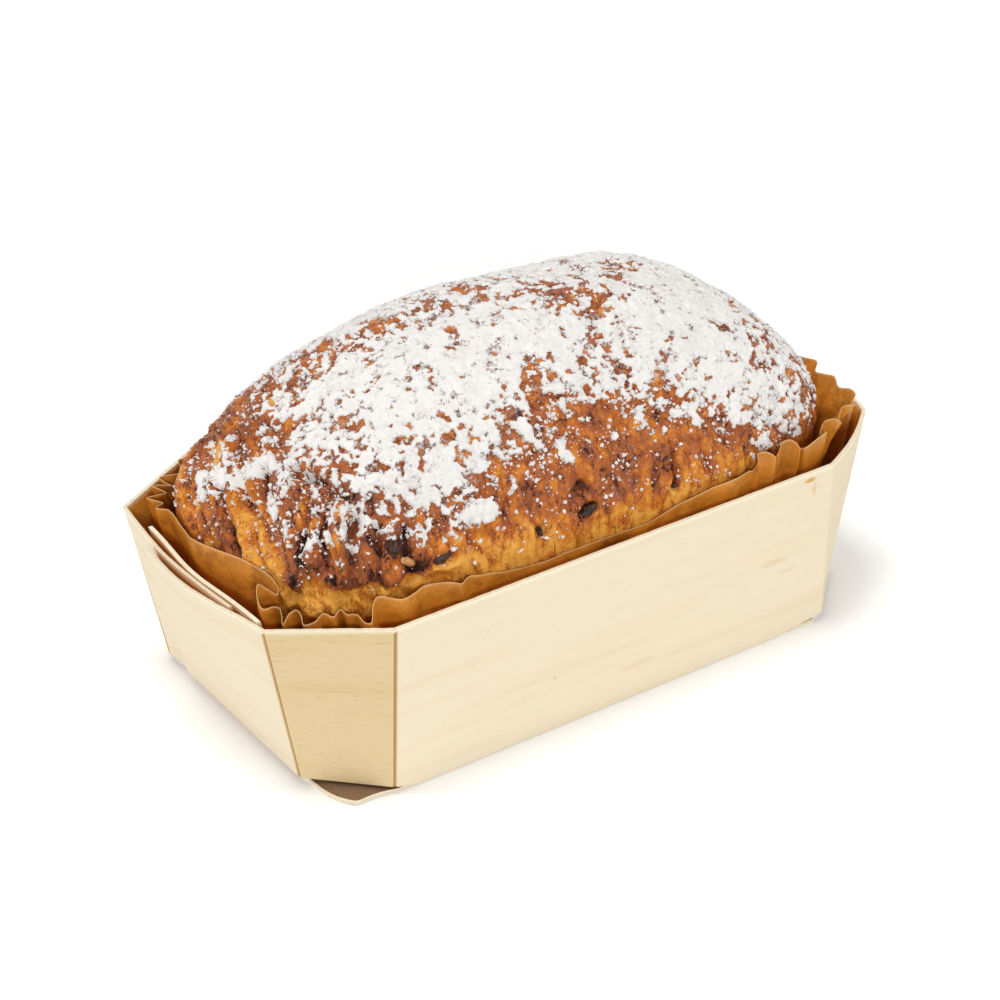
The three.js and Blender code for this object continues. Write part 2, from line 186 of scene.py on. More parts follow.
def noise(points, cell, seed=0):
    """Smooth noise from about -1 to 1 at points (n, 3), one swell for each `cell` millimetres."""
    rng = np.random.default_rng(NOISE_SEED)
    shuffle = rng.permutation(NOISE_TABLE)
    slopes = rng.normal(size=(NOISE_TABLE, 3))
    slopes /= np.linalg.norm(slopes, axis=1, keepdims=True)
    place = points / np.asarray(cell, float) + seed * NOISE_SHIFT
    corner = np.floor(place).astype(np.int64)
    inside = place - corner
    fade = inside ** 3 * (inside * (inside * 6 - 15) + 10)
    total = np.zeros(len(points))
    for step in np.ndindex(2, 2, 2):
        at = corner + step
        pick = shuffle[(shuffle[(shuffle[at[:, 0] % NOISE_TABLE] + at[:, 1]) % NOISE_TABLE]
                        + at[:, 2]) % NOISE_TABLE]
        slope = (slopes[pick] * (inside - step)).sum(1)
        share = np.prod(np.where(np.array(step) == 1, fade, 1 - fade), axis=1)
        total += slope * share
    return total * NOISE_GAIN


def layered_noise(points, cell, layers, seed=0, fall=0.5):
    """Noise with finer layers added, each half as large and `fall` as strong as the last."""
    total = np.zeros(len(points))
    for layer in range(layers):
        total += noise(points, np.asarray(cell, float) / 2 ** layer, seed + 3 * layer) * fall ** layer
    return total


def furrowed(points, cell, seed=0):
    """0 in sharp, thin valleys, rising to 1 on the rounded strands between them."""
    return np.minimum(np.abs(noise(points, cell, seed)) * FURROW_SLOPE, 1) ** FURROW_POWER


def distance_to_line(points, line):
    """Distance from each point to a line through the given places."""
    best = np.full(len(points), 1e9)
    line = np.asarray(line, float)
    for start, end in zip(line[:-1], line[1:]):
        along = end - start
        t = np.clip((points - start) @ along / (along @ along), 0, 1)
        best = np.minimum(best, np.linalg.norm(points - start - t[:, None] * along, axis=1))
    return best


def spline(knots, count):
    """Evenly spaced points on a smooth line through the knots (centripetal Catmull-Rom)."""
    knots = np.asarray(knots, float)
    before = 2 * knots[0] - knots[1]
    after = 2 * knots[-1] - knots[-2]
    padded = np.vstack([before, knots, after])
    fine = []
    for i in range(1, len(padded) - 2):
        p = padded[i - 1:i + 3]
        gaps = np.maximum(np.linalg.norm(np.diff(p, axis=0), axis=1) ** 0.5, 1e-6)
        t = np.concatenate([[0], np.cumsum(gaps)])
        u = np.linspace(t[1], t[2], 40, endpoint=False)[:, None]
        a = [(t[k + 1] - u) / gaps[k] * p[k] + (u - t[k]) / gaps[k] * p[k + 1] for k in range(3)]
        b = [(t[k + 2] - u) / (t[k + 2] - t[k]) * a[k] + (u - t[k]) / (t[k + 2] - t[k]) * a[k + 1]
             for k in range(2)]
        fine.append((t[2] - u) / gaps[1] * b[0] + (u - t[1]) / gaps[1] * b[1])
    fine = np.vstack(fine + [knots[-1:]])
    run = np.concatenate([[0], np.cumsum(np.linalg.norm(np.diff(fine, axis=0), axis=1))])
    places = np.linspace(0, run[-1], count)
    return np.stack([np.interp(places, run, fine[:, k]) for k in range(knots.shape[1])], axis=1)


# ---- meshes --------------------------------------------------------------------------------------
def new_object(name, data):
    piece = bpy.data.objects.new(name, data)
    bpy.context.scene.collection.objects.link(piece)
    return piece


def add_piece(name, points, faces, material=None, attributes=None, uv=None, smooth=True):
    """An object from points in millimetres. faces: an array of quads, or a list of tuples."""
    mesh = bpy.data.meshes.new(name)
    mesh.from_pydata((np.asarray(points) * MM).tolist(), [], [tuple(face) for face in faces])
    mesh.validate()
    for key, values in (attributes or {}).items():
        layer = mesh.attributes.new(key, "FLOAT", "POINT")
        layer.data.foreach_set("value", np.asarray(values, np.float32))
    if uv is not None:
        layer = mesh.uv_layers.new(name="strip")
        corners = np.empty(len(mesh.loops), np.int32)
        mesh.loops.foreach_get("vertex_index", corners)
        layer.data.foreach_set("uv", (np.asarray(uv) * MM)[corners].astype(np.float32).ravel())
    mesh.polygons.foreach_set("use_smooth", [smooth] * len(mesh.polygons))
    mesh.update()
    if material:
        mesh.materials.append(material)
    return new_object(name, mesh)


def grid_faces(columns, rows, closed=False, start=0):
    """Quads over points numbered column by column; a closed grid joins its last column to its first."""
    faces = []
    for i in range(columns if closed else columns - 1):
        here, there = start + i * rows, start + (i + 1) % columns * rows
        faces += [(here + j, there + j, there + j + 1, here + j + 1) for j in range(rows - 1)]
    return faces


def sheet_faces(columns, rows, closed=False):
    """Faces of a sheet whose outer grid of points comes first and its inner grid second."""
    inner = columns * rows
    faces = grid_faces(columns, rows, closed)
    faces += [tuple(reversed(face)) for face in grid_faces(columns, rows, closed, start=inner)]
    for i in range(columns if closed else columns - 1):
        here, there = i * rows, (i + 1) % columns * rows
        top = rows - 1
        faces.append((here + top, there + top, inner + there + top, inner + here + top))
        faces.append((inner + here, inner + there, there, here))
    if not closed:
        last = (columns - 1) * rows
        faces += [(inner + j, j, j + 1, inner + j + 1) for j in range(rows - 1)]
        faces += [(last + j, inner + last + j, inner + last + j + 1, last + j + 1)
                  for j in range(rows - 1)]
    return faces


def merged(points, faces):
    """The same mesh with points that share a place made one."""
    keys = np.round(points * 1000).astype(np.int64)
    _, first, inverse = np.unique(keys, axis=0, return_index=True, return_inverse=True)
    return points[first], inverse.reshape(-1)[np.asarray(faces)]


def two_faced(outer, inner):
    """The points of a sheet, from a grid of points for its outer face and one for its inner."""
    return np.vstack([outer.reshape(-1, 3), inner.reshape(-1, 3)])


# ---- the loaf's surface --------------------------------------------------------------------------
def loaf_half_sizes(z):
    depth = np.maximum(SHOULDER_Z - z, 0)
    return LOAF_HALF_LENGTH - TAPER_X * depth, LOAF_HALF_WIDTH - TAPER_Y * depth


def loaf_level(p):
    """1 on the loaf's smooth surface, less inside it, more outside."""
    x, y, z = p.T
    above = z >= SHOULDER_Z
    height = np.where(above, (z - SHOULDER_Z) / LOAF_CROWN,
                      (SHOULDER_Z - z) / (SHOULDER_Z - UNDERSIDE_Z))
    a, b = loaf_half_sizes(z)
    shifted = x - LOAF_CENTRE_X - np.where(above, PEAK_SHIFT * np.minimum(height, 1.2) ** 2, 0)
    plan = (np.abs(shifted / a) ** PLAN_POWER + np.abs(y / b) ** PLAN_POWER) ** (1 / PLAN_POWER)
    power = np.where(above, CROWN_POWER, SOLE_POWER)
    return (plan ** power + np.maximum(height, 0) ** power) ** (1 / power)


def smooth_crust(box_points):
    """Points of a box round the loaf, drawn in to its smooth surface, and their outward normals."""
    middle = np.array([LOAF_CENTRE_X, 0, SHOULDER_Z])
    ray = box_points - middle
    inside, outside = np.zeros(len(ray)), np.full(len(ray), FARTHEST_RAY)
    for _ in range(HALVINGS):
        t = (inside + outside) / 2
        within = loaf_level(middle + ray * t[:, None]) < 1
        inside, outside = np.where(within, t, inside), np.where(within, outside, t)
    surface = middle + ray * inside[:, None]
    normal = np.stack([loaf_level(surface + axis) - loaf_level(surface - axis)
                       for axis in NUDGE * np.eye(3)], axis=1)
    return surface, normal / np.linalg.norm(normal, axis=1, keepdims=True)


def graded(low, turn, high, fine, coarse):
    """Places from low to high, `fine` apart as far as `turn` and `coarse` apart after it."""
    first = np.linspace(low, turn, round((turn - low) / fine) + 1)
    return np.concatenate([first[:-1], np.linspace(turn, high, round((high - turn) / coarse) + 1)])


def box_sides(spacing, levels):
    """Points and quads of an open-bottomed box round the loaf; levels: heights of its side rows.

    The left end and the front have the finest mesh.
    """
    length, width, top = LOAF_HALF_LENGTH, LOAF_HALF_WIDTH, SHOULDER_Z + LOAF_CROWN
    xs = graded(-length, FINE_MESH_X, length, spacing, 1.45 * spacing)
    ys = graded(-width, FINE_MESH_Y, width, 1.1 * spacing, 1.6 * spacing)
    zs = np.append(levels, top)
    points, faces, count = [], [], 0
    # for each side: the places along its two directions, with their axes, and where it stands
    sides = [(xs, 0, ys, 1, top), (xs, 0, zs, 2, -width), (xs[::-1], 0, zs, 2, width),
             (ys, 1, zs, 2, length), (ys[::-1], 1, zs, 2, -length)]
    for u, u_axis, v, v_axis, own in sides:
        grid_u, grid_v = np.meshgrid(u, v, indexing="ij")
        side = np.full((grid_u.size, 3), own)
        side[:, u_axis], side[:, v_axis] = grid_u.ravel(), grid_v.ravel()
        number = count + np.arange(grid_u.size).reshape(grid_u.shape)
        faces.append(np.stack([number[:-1, :-1], number[1:, :-1], number[1:, 1:], number[:-1, 1:]],
                              axis=-1).reshape(-1, 4))
        points.append(side)
        count += len(side)
    return merged(np.vstack(points) + [LOAF_CENTRE_X, 0, 0], np.vstack(faces))


# Swellings and hollows of the crown: place, reach and rise. They are the solid's own, but for some
# at the front left corner, which are finer here.
SWELLS = [
    # the groove under the lip at the front left corner
    ((-79, -29.5, 53), 4.5, -2.2), ((-70, -36.5, 53), 5.0, -2.8), ((-59, -41, 54), 4.5, -2.0),
    # the bulge of dough below the groove, and the swellings of the lip over it
    ((-73, -36, 47.5), 5.5, 2.2), ((-64, -41, 48.5), 5.0, 1.9),
    ((-76.9, -27.4, 60.5), 5, 1.8), ((-70.2, -36.3, 58), 5, 3.2), ((-62, -39.5, 58), 4.6, 2.8),
    ((-53, -42, 59.5), 6, 2.4), ((-79.7, -27.9, 57), 4, 1.6),
    # the hollow, pale patch on the left end, and the paper's dent below it
    ((-82.3, -12, 60), 8, -2.4), ((-83, -22, 53), 9, -2.6),
    # folds of dough down the left end
    ((-81, 6, 63), 8, 1.6), ((-83, 20, 57), 7, 1.4), ((-72, -17, 71), 8, 1.4), ((-62, -30, 71), 9, 1.3),
    # the uneven top
    ((-12, 20, 91), 15, 1.4), ((22, 8, 94), 17, -1.2), ((54, 14, 84), 17, 1.2), ((74, -26, 68), 10, -0.8),
    # the sprung side along the front
    ((-25, -46, 58), 14, 0.9), ((5, -46, 57), 12, 1.0), ((35, -45, 58), 13, 0.8),
]

# Creases between strands of dough: the line, its width and its depth.
CREASES = [
    # slanting down the left end
    ([(-76.7, 23.7, 64), (-82.6, 16.2, 59), (-86.1, 8.2, 53)], 1.3, 1.3),
    ([(-71.5, 10.1, 73), (-77, 6, 68), (-81.4, 1.9, 63), (-84.8, -6.4, 57), (-85.6, -9.5, 54)], 1.2, 1.5),
    ([(-72.8, 8, 72), (-76.7, -0.9, 68), (-80.8, -6, 64), (-83.6, -13.2, 58.5), (-84, -18, 55)], 1.1, 1.2),
    ([(-79.1, -5.7, 66), (-79.9, -13.2, 64), (-80.6, -18.8, 61.6), (-81.5, -23.2, 57), (-81, -27, 51)],
     1.5, 1.9),
    ([(-73.2, -4.4, 72), (-77.2, -10.7, 68), (-79.1, -18.4, 64), (-79.7, -24.9, 59)], 1.2, 1.2),
    ([(-69.3, -13.6, 74), (-67.6, -18.6, 74.2), (-66, -24.1, 73), (-64.3, -28.1, 71.5)], 1.4, 2.2),
    ([(-70.4, -22.1, 71), (-74, -25.7, 65.5), (-76.6, -26.9, 61.5)], 1.3, 1.6),
    # down the lobes at the front left corner
    ([(-67, -25.7, 71.3), (-71.2, -28.5, 66), (-72.9, -32.1, 60)], 1.2, 1.5),
    ([(-63.4, -30.9, 70), (-67.1, -34.2, 63), (-68.6, -37, 55.4)], 1.3, 1.9),
    ([(-60.9, -35.6, 66), (-62.2, -38.5, 59.4), (-61.6, -40.3, 54.5)], 1.1, 1.5),
    ([(-54.5, -38.6, 65), (-55.5, -41.2, 58.3), (-55, -42, 55)], 1.2, 1.6),
    # the deep furrow beside the recess, and the wrinkles that fan across it
    ([(-79.6, -27, 55.5), (-78.8, -28.5, 51), (-78, -29, 46)], 1.2, 2.6),
    ([(-76.5, -30, 55), (-75.8, -31.5, 50.5), (-75.4, -31.5, 46)], 0.8, 1.4),
    ([(-73, -33, 54.5), (-73.2, -33.6, 50), (-74, -33, 46)], 0.7, 1.0),
    ([(-70, -36, 54), (-67, -38.5, 51), (-64, -40, 50)], 0.8, 1.2),
    ([(-69.5, -36, 52), (-68, -38, 49), (-67, -38.5, 46)], 0.7, 1.1),
    ([(-64, -39, 53), (-63.4, -40.5, 50), (-64, -40.6, 46)], 0.7, 0.9),
    ([(-59.5, -41, 53), (-60, -42, 50), (-60.6, -42, 47)], 0.7, 1.0),
    ([(-52, -43, 54), (-49, -44.4, 52.5), (-46, -45, 52)], 1.4, 2.2),
    # cracks up the sprung side along the front
    ([(-38.5, -42.2, 64), (-39.3, -44.2, 58), (-39.2, -45.5, 51)], 1.0, 1.0),
    ([(-28.3, -42.3, 66), (-30.1, -44.7, 59), (-32.5, -45.9, 52)], 1.0, 0.8),
    ([(-5, -45.6, 58.1), (-8.2, -46, 56.6), (-10.1, -46.5, 53.3), (-10, -46.8, 48)], 0.9, 1.8),
    ([(5.1, -44.2, 62.6), (4.8, -46, 56.4), (6.5, -46.7, 52)], 0.8, 0.8),
    ([(15.2, -44.3, 62), (14.3, -46, 56), (13.6, -46.7, 51.4)], 0.9, 1.0),
    ([(20.8, -43.9, 63), (20.8, -45.2, 59), (21.6, -46.3, 53.6)], 0.8, 1.2),
    ([(30.1, -43.2, 63.7), (30.1, -45.5, 56)], 0.9, 0.8),
]

# Small deep holes where a bubble or a raisin broke the crust: place, radius and depth.
PITS = [
    ((-83.5, 15.9, 57.9), 1.5, 1.8), ((-82.1, 0.6, 61.9), 1.8, 2.0), ((-68.1, -17.5, 74.1), 2.0, 2.2),
    ((-80.2, -28.4, 53.5), 1.6, 1.6), ((-20.6, -45.8, 56.6), 1.2, 1.4), ((-6.7, -43.8, 63.5), 1.3, 1.2),
    ((-58.7, -38.5, 62.3), 1.7, 1.6), ((-53.7, -41.4, 59.1), 1.5, 1.5), ((20, -46.1, 55.3), 1.0, 1.2),
]

# Raisins that broke the crust: place, half-sizes and turn in the flank's plane, in degrees.
RAISINS = [
    ((-6.2, -46.2, 57.6), (2.8, 1.3, 1.3), 24), ((-21, -46.2, 56.4), (0.8, 0.9, 1.6), 12),
    ((-58.6, -39.6, 61.6), (2.0, 1.8, 2.9), 12), ((-47.5, -43.7, 57.4), (2.5, 1.3, 1.4), 20),
    ((-6.9, -43.7, 63.6), (1.3, 1.0, 0.8), -25), ((20.3, -46.0, 55.2), (1.2, 0.8, 0.6), -12),
    ((-47, 43.2, 60), (3.0, 1.4, 1.6), 12),
    ((18, 45.9, 57), (2.4, 1.3, 1.5), -20), ((84.3, 12, 60), (1.2, 2.4, 1.5), 0),
]

# Bits of almond that show in the crust, given in the same way.
ALMONDS = [((-56.2, -42.2, 58.6), (2.4, 0.8, 1.0), -38), ((24, 44.9, 59), (1.9, 0.9, 1.2), 25)]


def strand_coordinates(p):
    """Places measured along and across the dough's strands, which slant down the left end."""
    x, y, z = p.T
    left_end = smoothstep(-58, -74, x)
    slanted = y - 1.1 * (z - 60) - 0.4 * (x + 80)
    plain = x + 0.12 * z + 0.25 * y
    return np.stack([mix(plain, slanted, left_end), z, np.zeros(len(p))], 1), left_end


def crust_relief(p, wrinkle):
    """How far the crust stands out from the smooth loaf; its folds, pits and furrows get painted shade."""
    x, y, z = p.T
    swell = spots(p, SWELLS) + 0.35 * np.sin(x / 6.1 + y / 9) * np.cos(y / 7.3 + z / 8)

    wobble = p + 0.8 * np.stack([noise(p, 4.5, 11 + k) for k in range(3)], 1)
    fold = np.zeros(len(p))
    for line, width, depth in CREASES:
        far = distance_to_line(wobble, line)
        fold += -1.25 * depth * bump(far, 0.85 * width) + 0.5 * depth * bump(far - 2.3 * width, 1.2 * width)
    pit, pit_shade = np.zeros(len(p)), np.zeros(len(p))
    for place, radius, depth in PITS:
        shape = near(wobble, place, radius)
        pit += depth * shape
        pit_shade = np.maximum(pit_shade, shape)

    socket = np.zeros(len(p))
    for place, half, _ in RAISINS:
        far = np.linalg.norm((wobble - place) / (np.array(half) + 0.7), axis=1)
        socket += 0.5 * bump(far - 1.35, 0.35) - 1.0 * bump(far, 0.95)

    strands, left_end = strand_coordinates(wobble)
    low_end = left_end * smoothstep(88, 74, z)
    corner = smoothstep(-38, -52, x) * smoothstep(80, 70, z) * (1 - low_end)
    flank = smoothstep(70, 60, z) * (1 - low_end) * (1 - corner)
    strand = furrowed(strands, (6.5, 26, 1), 1)
    thread = furrowed(strands, (2.9, 15, 1), 5)
    lump = furrowed(wobble, 5.5, 7)
    blister = furrowed(wobble, 3.3, 12)
    pebble = furrowed(p, 1.9, 9)
    # painted shade goes in the valleys between strands and in the cracks between blisters
    furrow_shade = np.clip((0.62 - strand) * 1.8, 0, 1) + 0.6 * np.clip((0.55 - thread) * 1.8, 0, 1)
    crack = 0.6 * np.clip((0.5 - blister) * 2, 0, 1) * smoothstep(58, 64, z)
    furrow_shade = furrow_shade * np.clip(low_end + 0.6 * corner + 0.9 * flank, 0, 1) + crack
    strand, thread, lump, blister, pebble = (form - FURROW_MEAN
                                             for form in (strand, thread, lump, blister, pebble))
    fine = (low_end * (3.4 * strand + 1.8 * thread + 0.5 * lump)
            + corner * (1.6 * strand + 1.0 * thread + 1.8 * lump)
            + flank * (2.4 * strand + 1.5 * thread)
            + 0.8 * smoothstep(56, 62, z) * (1 - 0.6 * low_end) * blister
            + 0.85 * mix(0.4, 1.0, smoothstep(52, 61, z)) * (1 - 0.6 * low_end) * pebble)
    rough = 0.85 * noise(p, 9, 2) + 0.5 * noise(p, 4.2, 3) + 0.3 * noise(p, 2.0, 4)
    total = swell + fold + socket + wrinkle * (fine + rough)
    recess = smoothstep(-50, -57, x) * smoothstep(-22, -28, y)
    outwards = mix(smoothstep(49.5, 57, z), smoothstep(43, 48, z), recess)
    total = np.where(total > 0, total * outwards, total * smoothstep(20, 44, z))
    return total - pit, np.clip(-fold / 1.4, 0, 1), pit_shade, furrow_shade


# Where the sugar thins out along the front: X and the height of its ragged border.
SUGAR_BORDER = [(-95, 69), (-78, 70), (-70, 72), (-63, 70), (-55, 66), (-45, 65), (-35, 67), (-20, 75),
                (5, 78), (19, 76), (33, 71), (45, 62), (58, 55), (75, 54), (95, 56)]
SUGAR_BORDER_BACK = 66.0
MOST_COVER = 0.985

# Places on the crown where less sugar stuck: place, reach and loss of cover.
BARE_SPOTS = [
    ((-52, 22, 81), 10, 0.40), ((-43, 11, 87), 8, 0.45), ((-64, 24, 74), 11, 0.75), ((-70, 10, 74), 7, 0.35),
    ((-30, 9, 92), 8, 0.35), ((-17, 12, 94), 9, 0.35), ((-21, -8, 93.5), 3, 0.30), ((0.5, 10, 95), 8, 0.35),
    ((8, -4, 96), 6, 0.50), ((20, -8, 94), 8, 0.48), ((37, 3, 91), 8, 0.30), ((64, -15, 77), 7, 0.30),
    ((62, -29, 73), 8, 0.30), ((13, -28, 85), 6, 0.22), ((-9, -25, 87), 4, 0.25), ((-9, -32, 81), 6, 0.28),
    ((1, -34, 79), 6, 0.28), ((-65, 1, 77.5), 6, 0.40), ((-55, -13, 82.6), 4, 0.28),
    ((-33, -31.6, 80), 4, 0.35), ((-52, -27, 78.4), 7, 0.30), ((-68, -19, 72), 7, 0.30),
]

# Lumps of sugar that lie alone on the bare crust, or run down the left end: place, reach and height.
LUMPS = [
    ((31.8, -40.7, 68.6), 1.5, 4.0), ((28, -44.4, 60.7), 2.2, 4.0), ((31.2, -45.2, 57.4), 1.9, 4.0),
    ((-1, -44.3, 62.4), 1.5, 4.6), ((-8.6, -40.2, 70.9), 2.6, 2.8), ((6, -40, 71.3), 1.4, 3.4),
    ((30.5, -42.6, 65.1), 1.1, 5.0), ((5.6, -41.8, 68.1), 2.0, 2.6), ((23.6, -40.4, 70), 2.6, 2.6),
    ((-33.7, -42.1, 65.5), 3.0, 2.6), ((-39.4, -41.9, 64.4), 1.8, 2.4), ((-32.2, -44.4, 59.7), 1.2, 3.6),
    ((-23.2, -44.1, 62), 2.0, 3.2), ((-24.3, -45.2, 58.5), 1.0, 3.0), ((-44.6, -43.5, 58.3), 1.6, 3.2),
    ((-52.5, -42.2, 57.4), 1.7, 3.2), ((-70.6, -30.9, 64.1), 2.2, 2.8), ((-75.5, -27.4, 63), 1.7, 2.6),
    ((-66, -35.5, 62), 1.8, 3.4), ((-74.4, -29.4, 61), 1.7, 3.0), ((-78.6, 6.9, 66.5), 2.8, 2.8),
    ((-80, 5, 63.5), 1.6, 3.4), ((-80.8, 14, 64), 1.6, 3.0), ((-82.2, 10, 61.4), 1.9, 3.0),
    ((-79.6, 19.6, 62.5), 1.1, 3.4), ((-83.6, 8, 58), 1.2, 2.8), ((-84.3, 4, 56.5), 1.2, 2.6),
    ((-73, -3, 71), 4.5, 1.8), ((-76, -1, 68), 2.4, 2.2), ((41.1, -44.5, 56.4), 1.3, 3.0),
    ((49.7, -43, 57.3), 1.8, 2.4), ((-79.2, -13, 66), 1.3, 2.2), ((-77.5, -16, 66), 1.5, 2.2),
]


def sugar_cover(p):
    """The share of the crust that the sugar hides: nearly 1 on the crown, 0 on the bare sides."""
    x, y, z = p.T
    border = np.interp(x, *zip(*SUGAR_BORDER))
    border = mix(border, SUGAR_BORDER_BACK, smoothstep(-5, 15, y) * smoothstep(-60, -40, x))
    fade = 8.0 + 5 * smoothstep(-50, -70, x) + 3 * smoothstep(35, 60, x)
    cover = 0.955 * smoothstep(-1.15, 1.2, (z - border) / fade)
    cover -= spots(p, BARE_SPOTS) + 0.22 * smoothstep(60, 78, x)
    return np.clip(cover, 0.0, MOST_COVER)


# The pale patch on the left end, the recess at the front left corner and the brown lip above it.
PALE_PATCH = [(-81, -8, 63), (-82.5, -15, 58.5), (-81.5, -23, 53)]
RECESS = [(-79, -30, 48), (-69, -37, 48), (-55, -43, 49)]
BROWN_LIP = [(-79.7, -27.9, 57), (-77, -27.5, 61), (-70, -36, 60), (-62, -39.5, 60), (-53, -42, 61)]


def baked_share(p, folded, furrow_shade):
    """How dark the crust baked, 0 golden and 1 nearly burnt, with painted shade in its creases and furrows.
    """
    x, _, z = p.T
    uneven = layered_noise(p, 12, 3, seed=30)
    blotch = layered_noise(p, 4.5, 3, seed=33)
    line = 57.5 + 3.5 * uneven + 4 * smoothstep(-10, -45, x) * smoothstep(-60, -48, x)
    front = smoothstep(line - 8, line + 7, z)
    right = smoothstep(25, 60, x)
    baked = mix(0.08, 0.54, np.maximum(front, 0.85 * right))
    left_end = smoothstep(-62, -74, x)
    amber = smoothstep(0.05, 0.75, layered_noise(p, 7.5, 2, seed=31))
    baked = mix(baked, 0.55 - 0.46 * amber - 0.16 * smoothstep(58, 52, z), left_end)
    patch = bump(distance_to_line(p, PALE_PATCH), 5.2)
    recess = bump(distance_to_line(p, RECESS), 8)
    baked = mix(baked, 0.02, np.clip(1.35 * patch, 0, 1))
    baked = mix(baked, 0.04, np.clip(1.5 * recess, 0, 1) * smoothstep(57.6, 55.4, z))
    lip = bump(distance_to_line(p, BROWN_LIP), 4.2)
    baked = np.maximum(baked, lip * (0.48 + 0.22 * uneven))
    # painted shade in the creases and furrows, and the crust's own uneven blotches
    crease_shade_and_blotches = 0.28 * folded + 0.26 * furrow_shade + 0.08 * uneven + 0.18 * blotch
    golden = np.clip(np.maximum(recess * smoothstep(56.8, 54.8, z), 0.8 * patch), 0, 1)
    return np.clip(baked + crease_shade_and_blotches * (1 - 0.7 * golden), 0, 1)


# The lip's lower rim at the front left corner, whose lobes hang over the recess.
LIP = [(-79.7, -27.9, 57), (-77, -28, 60), (-74, -33, 59), (-69.5, -36.5, 57.5), (-64, -39.3, 57.5),
       (-58, -41.3, 57.5), (-52, -42.5, 59.5), (-45, -43.6, 58.5)]

# The lobes along it: place, reach and how far each one hangs down.
LOBES = [((-79.6, -28.3, 56.5), 2.4, 4.4), ((-75, -32.5, 59), 2.2, 0.6), ((-70.4, -36.4, 56.8), 3.6, 3.6),
         ((-65.2, -38.8, 57.6), 2.2, 1.0), ((-60.2, -40.8, 57.2), 3.0, 3.0), ((-53, -42.6, 58.6), 3.2, 2.0)]


def crust_at(box_points, wrinkle):
    """Points of the crust, their smooth normals, and what the finish needs to know of each."""
    smooth, normal = smooth_crust(box_points)
    # folded, pit and furrow mark where the colour gets painted shade
    relief, folded, pit, furrow_shade = crust_relief(smooth, wrinkle)
    lip = distance_to_line(smooth, LIP)
    droop = 1.2 * bump(lip, 3.0) + spots(smooth, LOBES)
    points = smooth + normal * relief[:, None]
    hang = np.clip(droop * (1 + 0.3 * noise(smooth, 4, 15)), 0, 6)
    points[:, 2] -= hang
    points[:, 2] -= SQUEEZE * np.clip(points[:, 2] - SQUEEZE_Z, 0, None)
    return points, normal, {"folded": folded, "pit": pit, "furrow_shade": furrow_shade, "lip": lip, "hang": hang}


# ---- materials: node helpers ---------------------------------------------------------------------
def connect(tree, socket, value):
    """Joins a socket to another's output, or gives it a value of its own."""
    if isinstance(value, bpy.types.NodeSocket):
        tree.links.new(value, socket)
    else:
        socket.default_value = value


def add_node(tree, kind, inputs=None, **settings):
    """A node with its settings made and its inputs connected."""
    node = tree.nodes.new(kind)
    for key, value in settings.items():
        setattr(node, key, value)
    for key, value in (inputs or {}).items():
        connect(tree, node.inputs[key], value)
    return node


def colour4(colour):
    """A socket as it is, or the four numbers of a setting's colour or of a hex code."""
    if isinstance(colour, bpy.types.NodeSocket):
        return colour
    if isinstance(colour, str):
        colour = linear(colour)
    return (*colour[:3], 1.0)


def maths(tree, operation, a, b=0.0, clamp=False):
    return add_node(tree, "ShaderNodeMath", {0: a, 1: b}, operation=operation, use_clamp=clamp).outputs[0]


def plus(tree, first, *others):
    for other in others:
        first = maths(tree, "ADD", first, other)
    return first


def minus(tree, a, b):
    return maths(tree, "SUBTRACT", a, b)


def times(tree, a, b):
    return maths(tree, "MULTIPLY", a, b)


def swing(tree, value, weight):
    """Noise that lies round 0 in place of 0.5, times its weight."""
    return times(tree, minus(tree, value, 0.5), weight)


def blend_colour(tree, share, a, b):
    """Colour a where share is 0 and colour b where it is 1."""
    node = add_node(tree, "ShaderNodeMix", data_type="RGBA", clamp_factor=True)
    for number, value in ((0, share), (6, colour4(a)), (7, colour4(b))):
        connect(tree, node.inputs[number], value)
    return node.outputs[2]


def colour_ramp(tree, value, stops):
    """Colours between (place, colour) stops."""
    node = add_node(tree, "ShaderNodeValToRGB", {"Fac": value})
    elements = node.color_ramp.elements
    while len(elements) < len(stops):
        elements.new(0.5)
    for element, (place, colour) in zip(elements, stops):
        element.position = place
        element.color = colour4(colour)
    return node.outputs[0]


def remap(tree, value, low, high, to_low=0.0, to_high=1.0, smooth=False):
    return add_node(tree, "ShaderNodeMapRange",
                    {"Value": value, "From Min": low, "From Max": high, "To Min": to_low, "To Max": to_high},
                    clamp=True, interpolation_type="SMOOTHSTEP" if smooth else "LINEAR").outputs[0]


def vector_maths(tree, operation, inputs):
    return add_node(tree, "ShaderNodeVectorMath", inputs, operation=operation).outputs[0]


def noise_node(tree, vector, size_mm, detail=2.0, roughness=0.5, distortion=0.0, squeeze=None):
    """Noise whose swells are size_mm wide, and longer along an axis whose squeeze is below 1."""
    if squeeze:
        vector = vector_maths(tree, "MULTIPLY", {0: vector, 1: squeeze})
    return add_node(tree, "ShaderNodeTexNoise",
                    {"Vector": vector, "Scale": 1000.0 / size_mm, "Detail": detail,
                     "Roughness": roughness, "Distortion": distortion}).outputs[0]


def jitter(tree, place, scale, detail, reach):
    """A small random shift for each place, about `reach` metres long at most."""
    cloud = add_node(tree, "ShaderNodeTexNoise", {"Vector": place, "Scale": scale, "Detail": detail})
    centred = vector_maths(tree, "SUBTRACT", {0: cloud.outputs["Color"], 1: (0.5, 0.5, 0.5)})
    return vector_maths(tree, "SCALE", {0: centred, "Scale": reach})


def attribute(tree, name):
    return add_node(tree, "ShaderNodeAttribute", attribute_name=name).outputs["Fac"]


def new_material(name):
    """A material with its node tree, its shader and the Object coordinates in that tree."""
    material = bpy.data.materials.new(name)
    material.use_nodes = True
    tree = material.node_tree
    place = add_node(tree, "ShaderNodeTexCoord").outputs["Object"]
    return material, tree, tree.nodes["Principled BSDF"], place


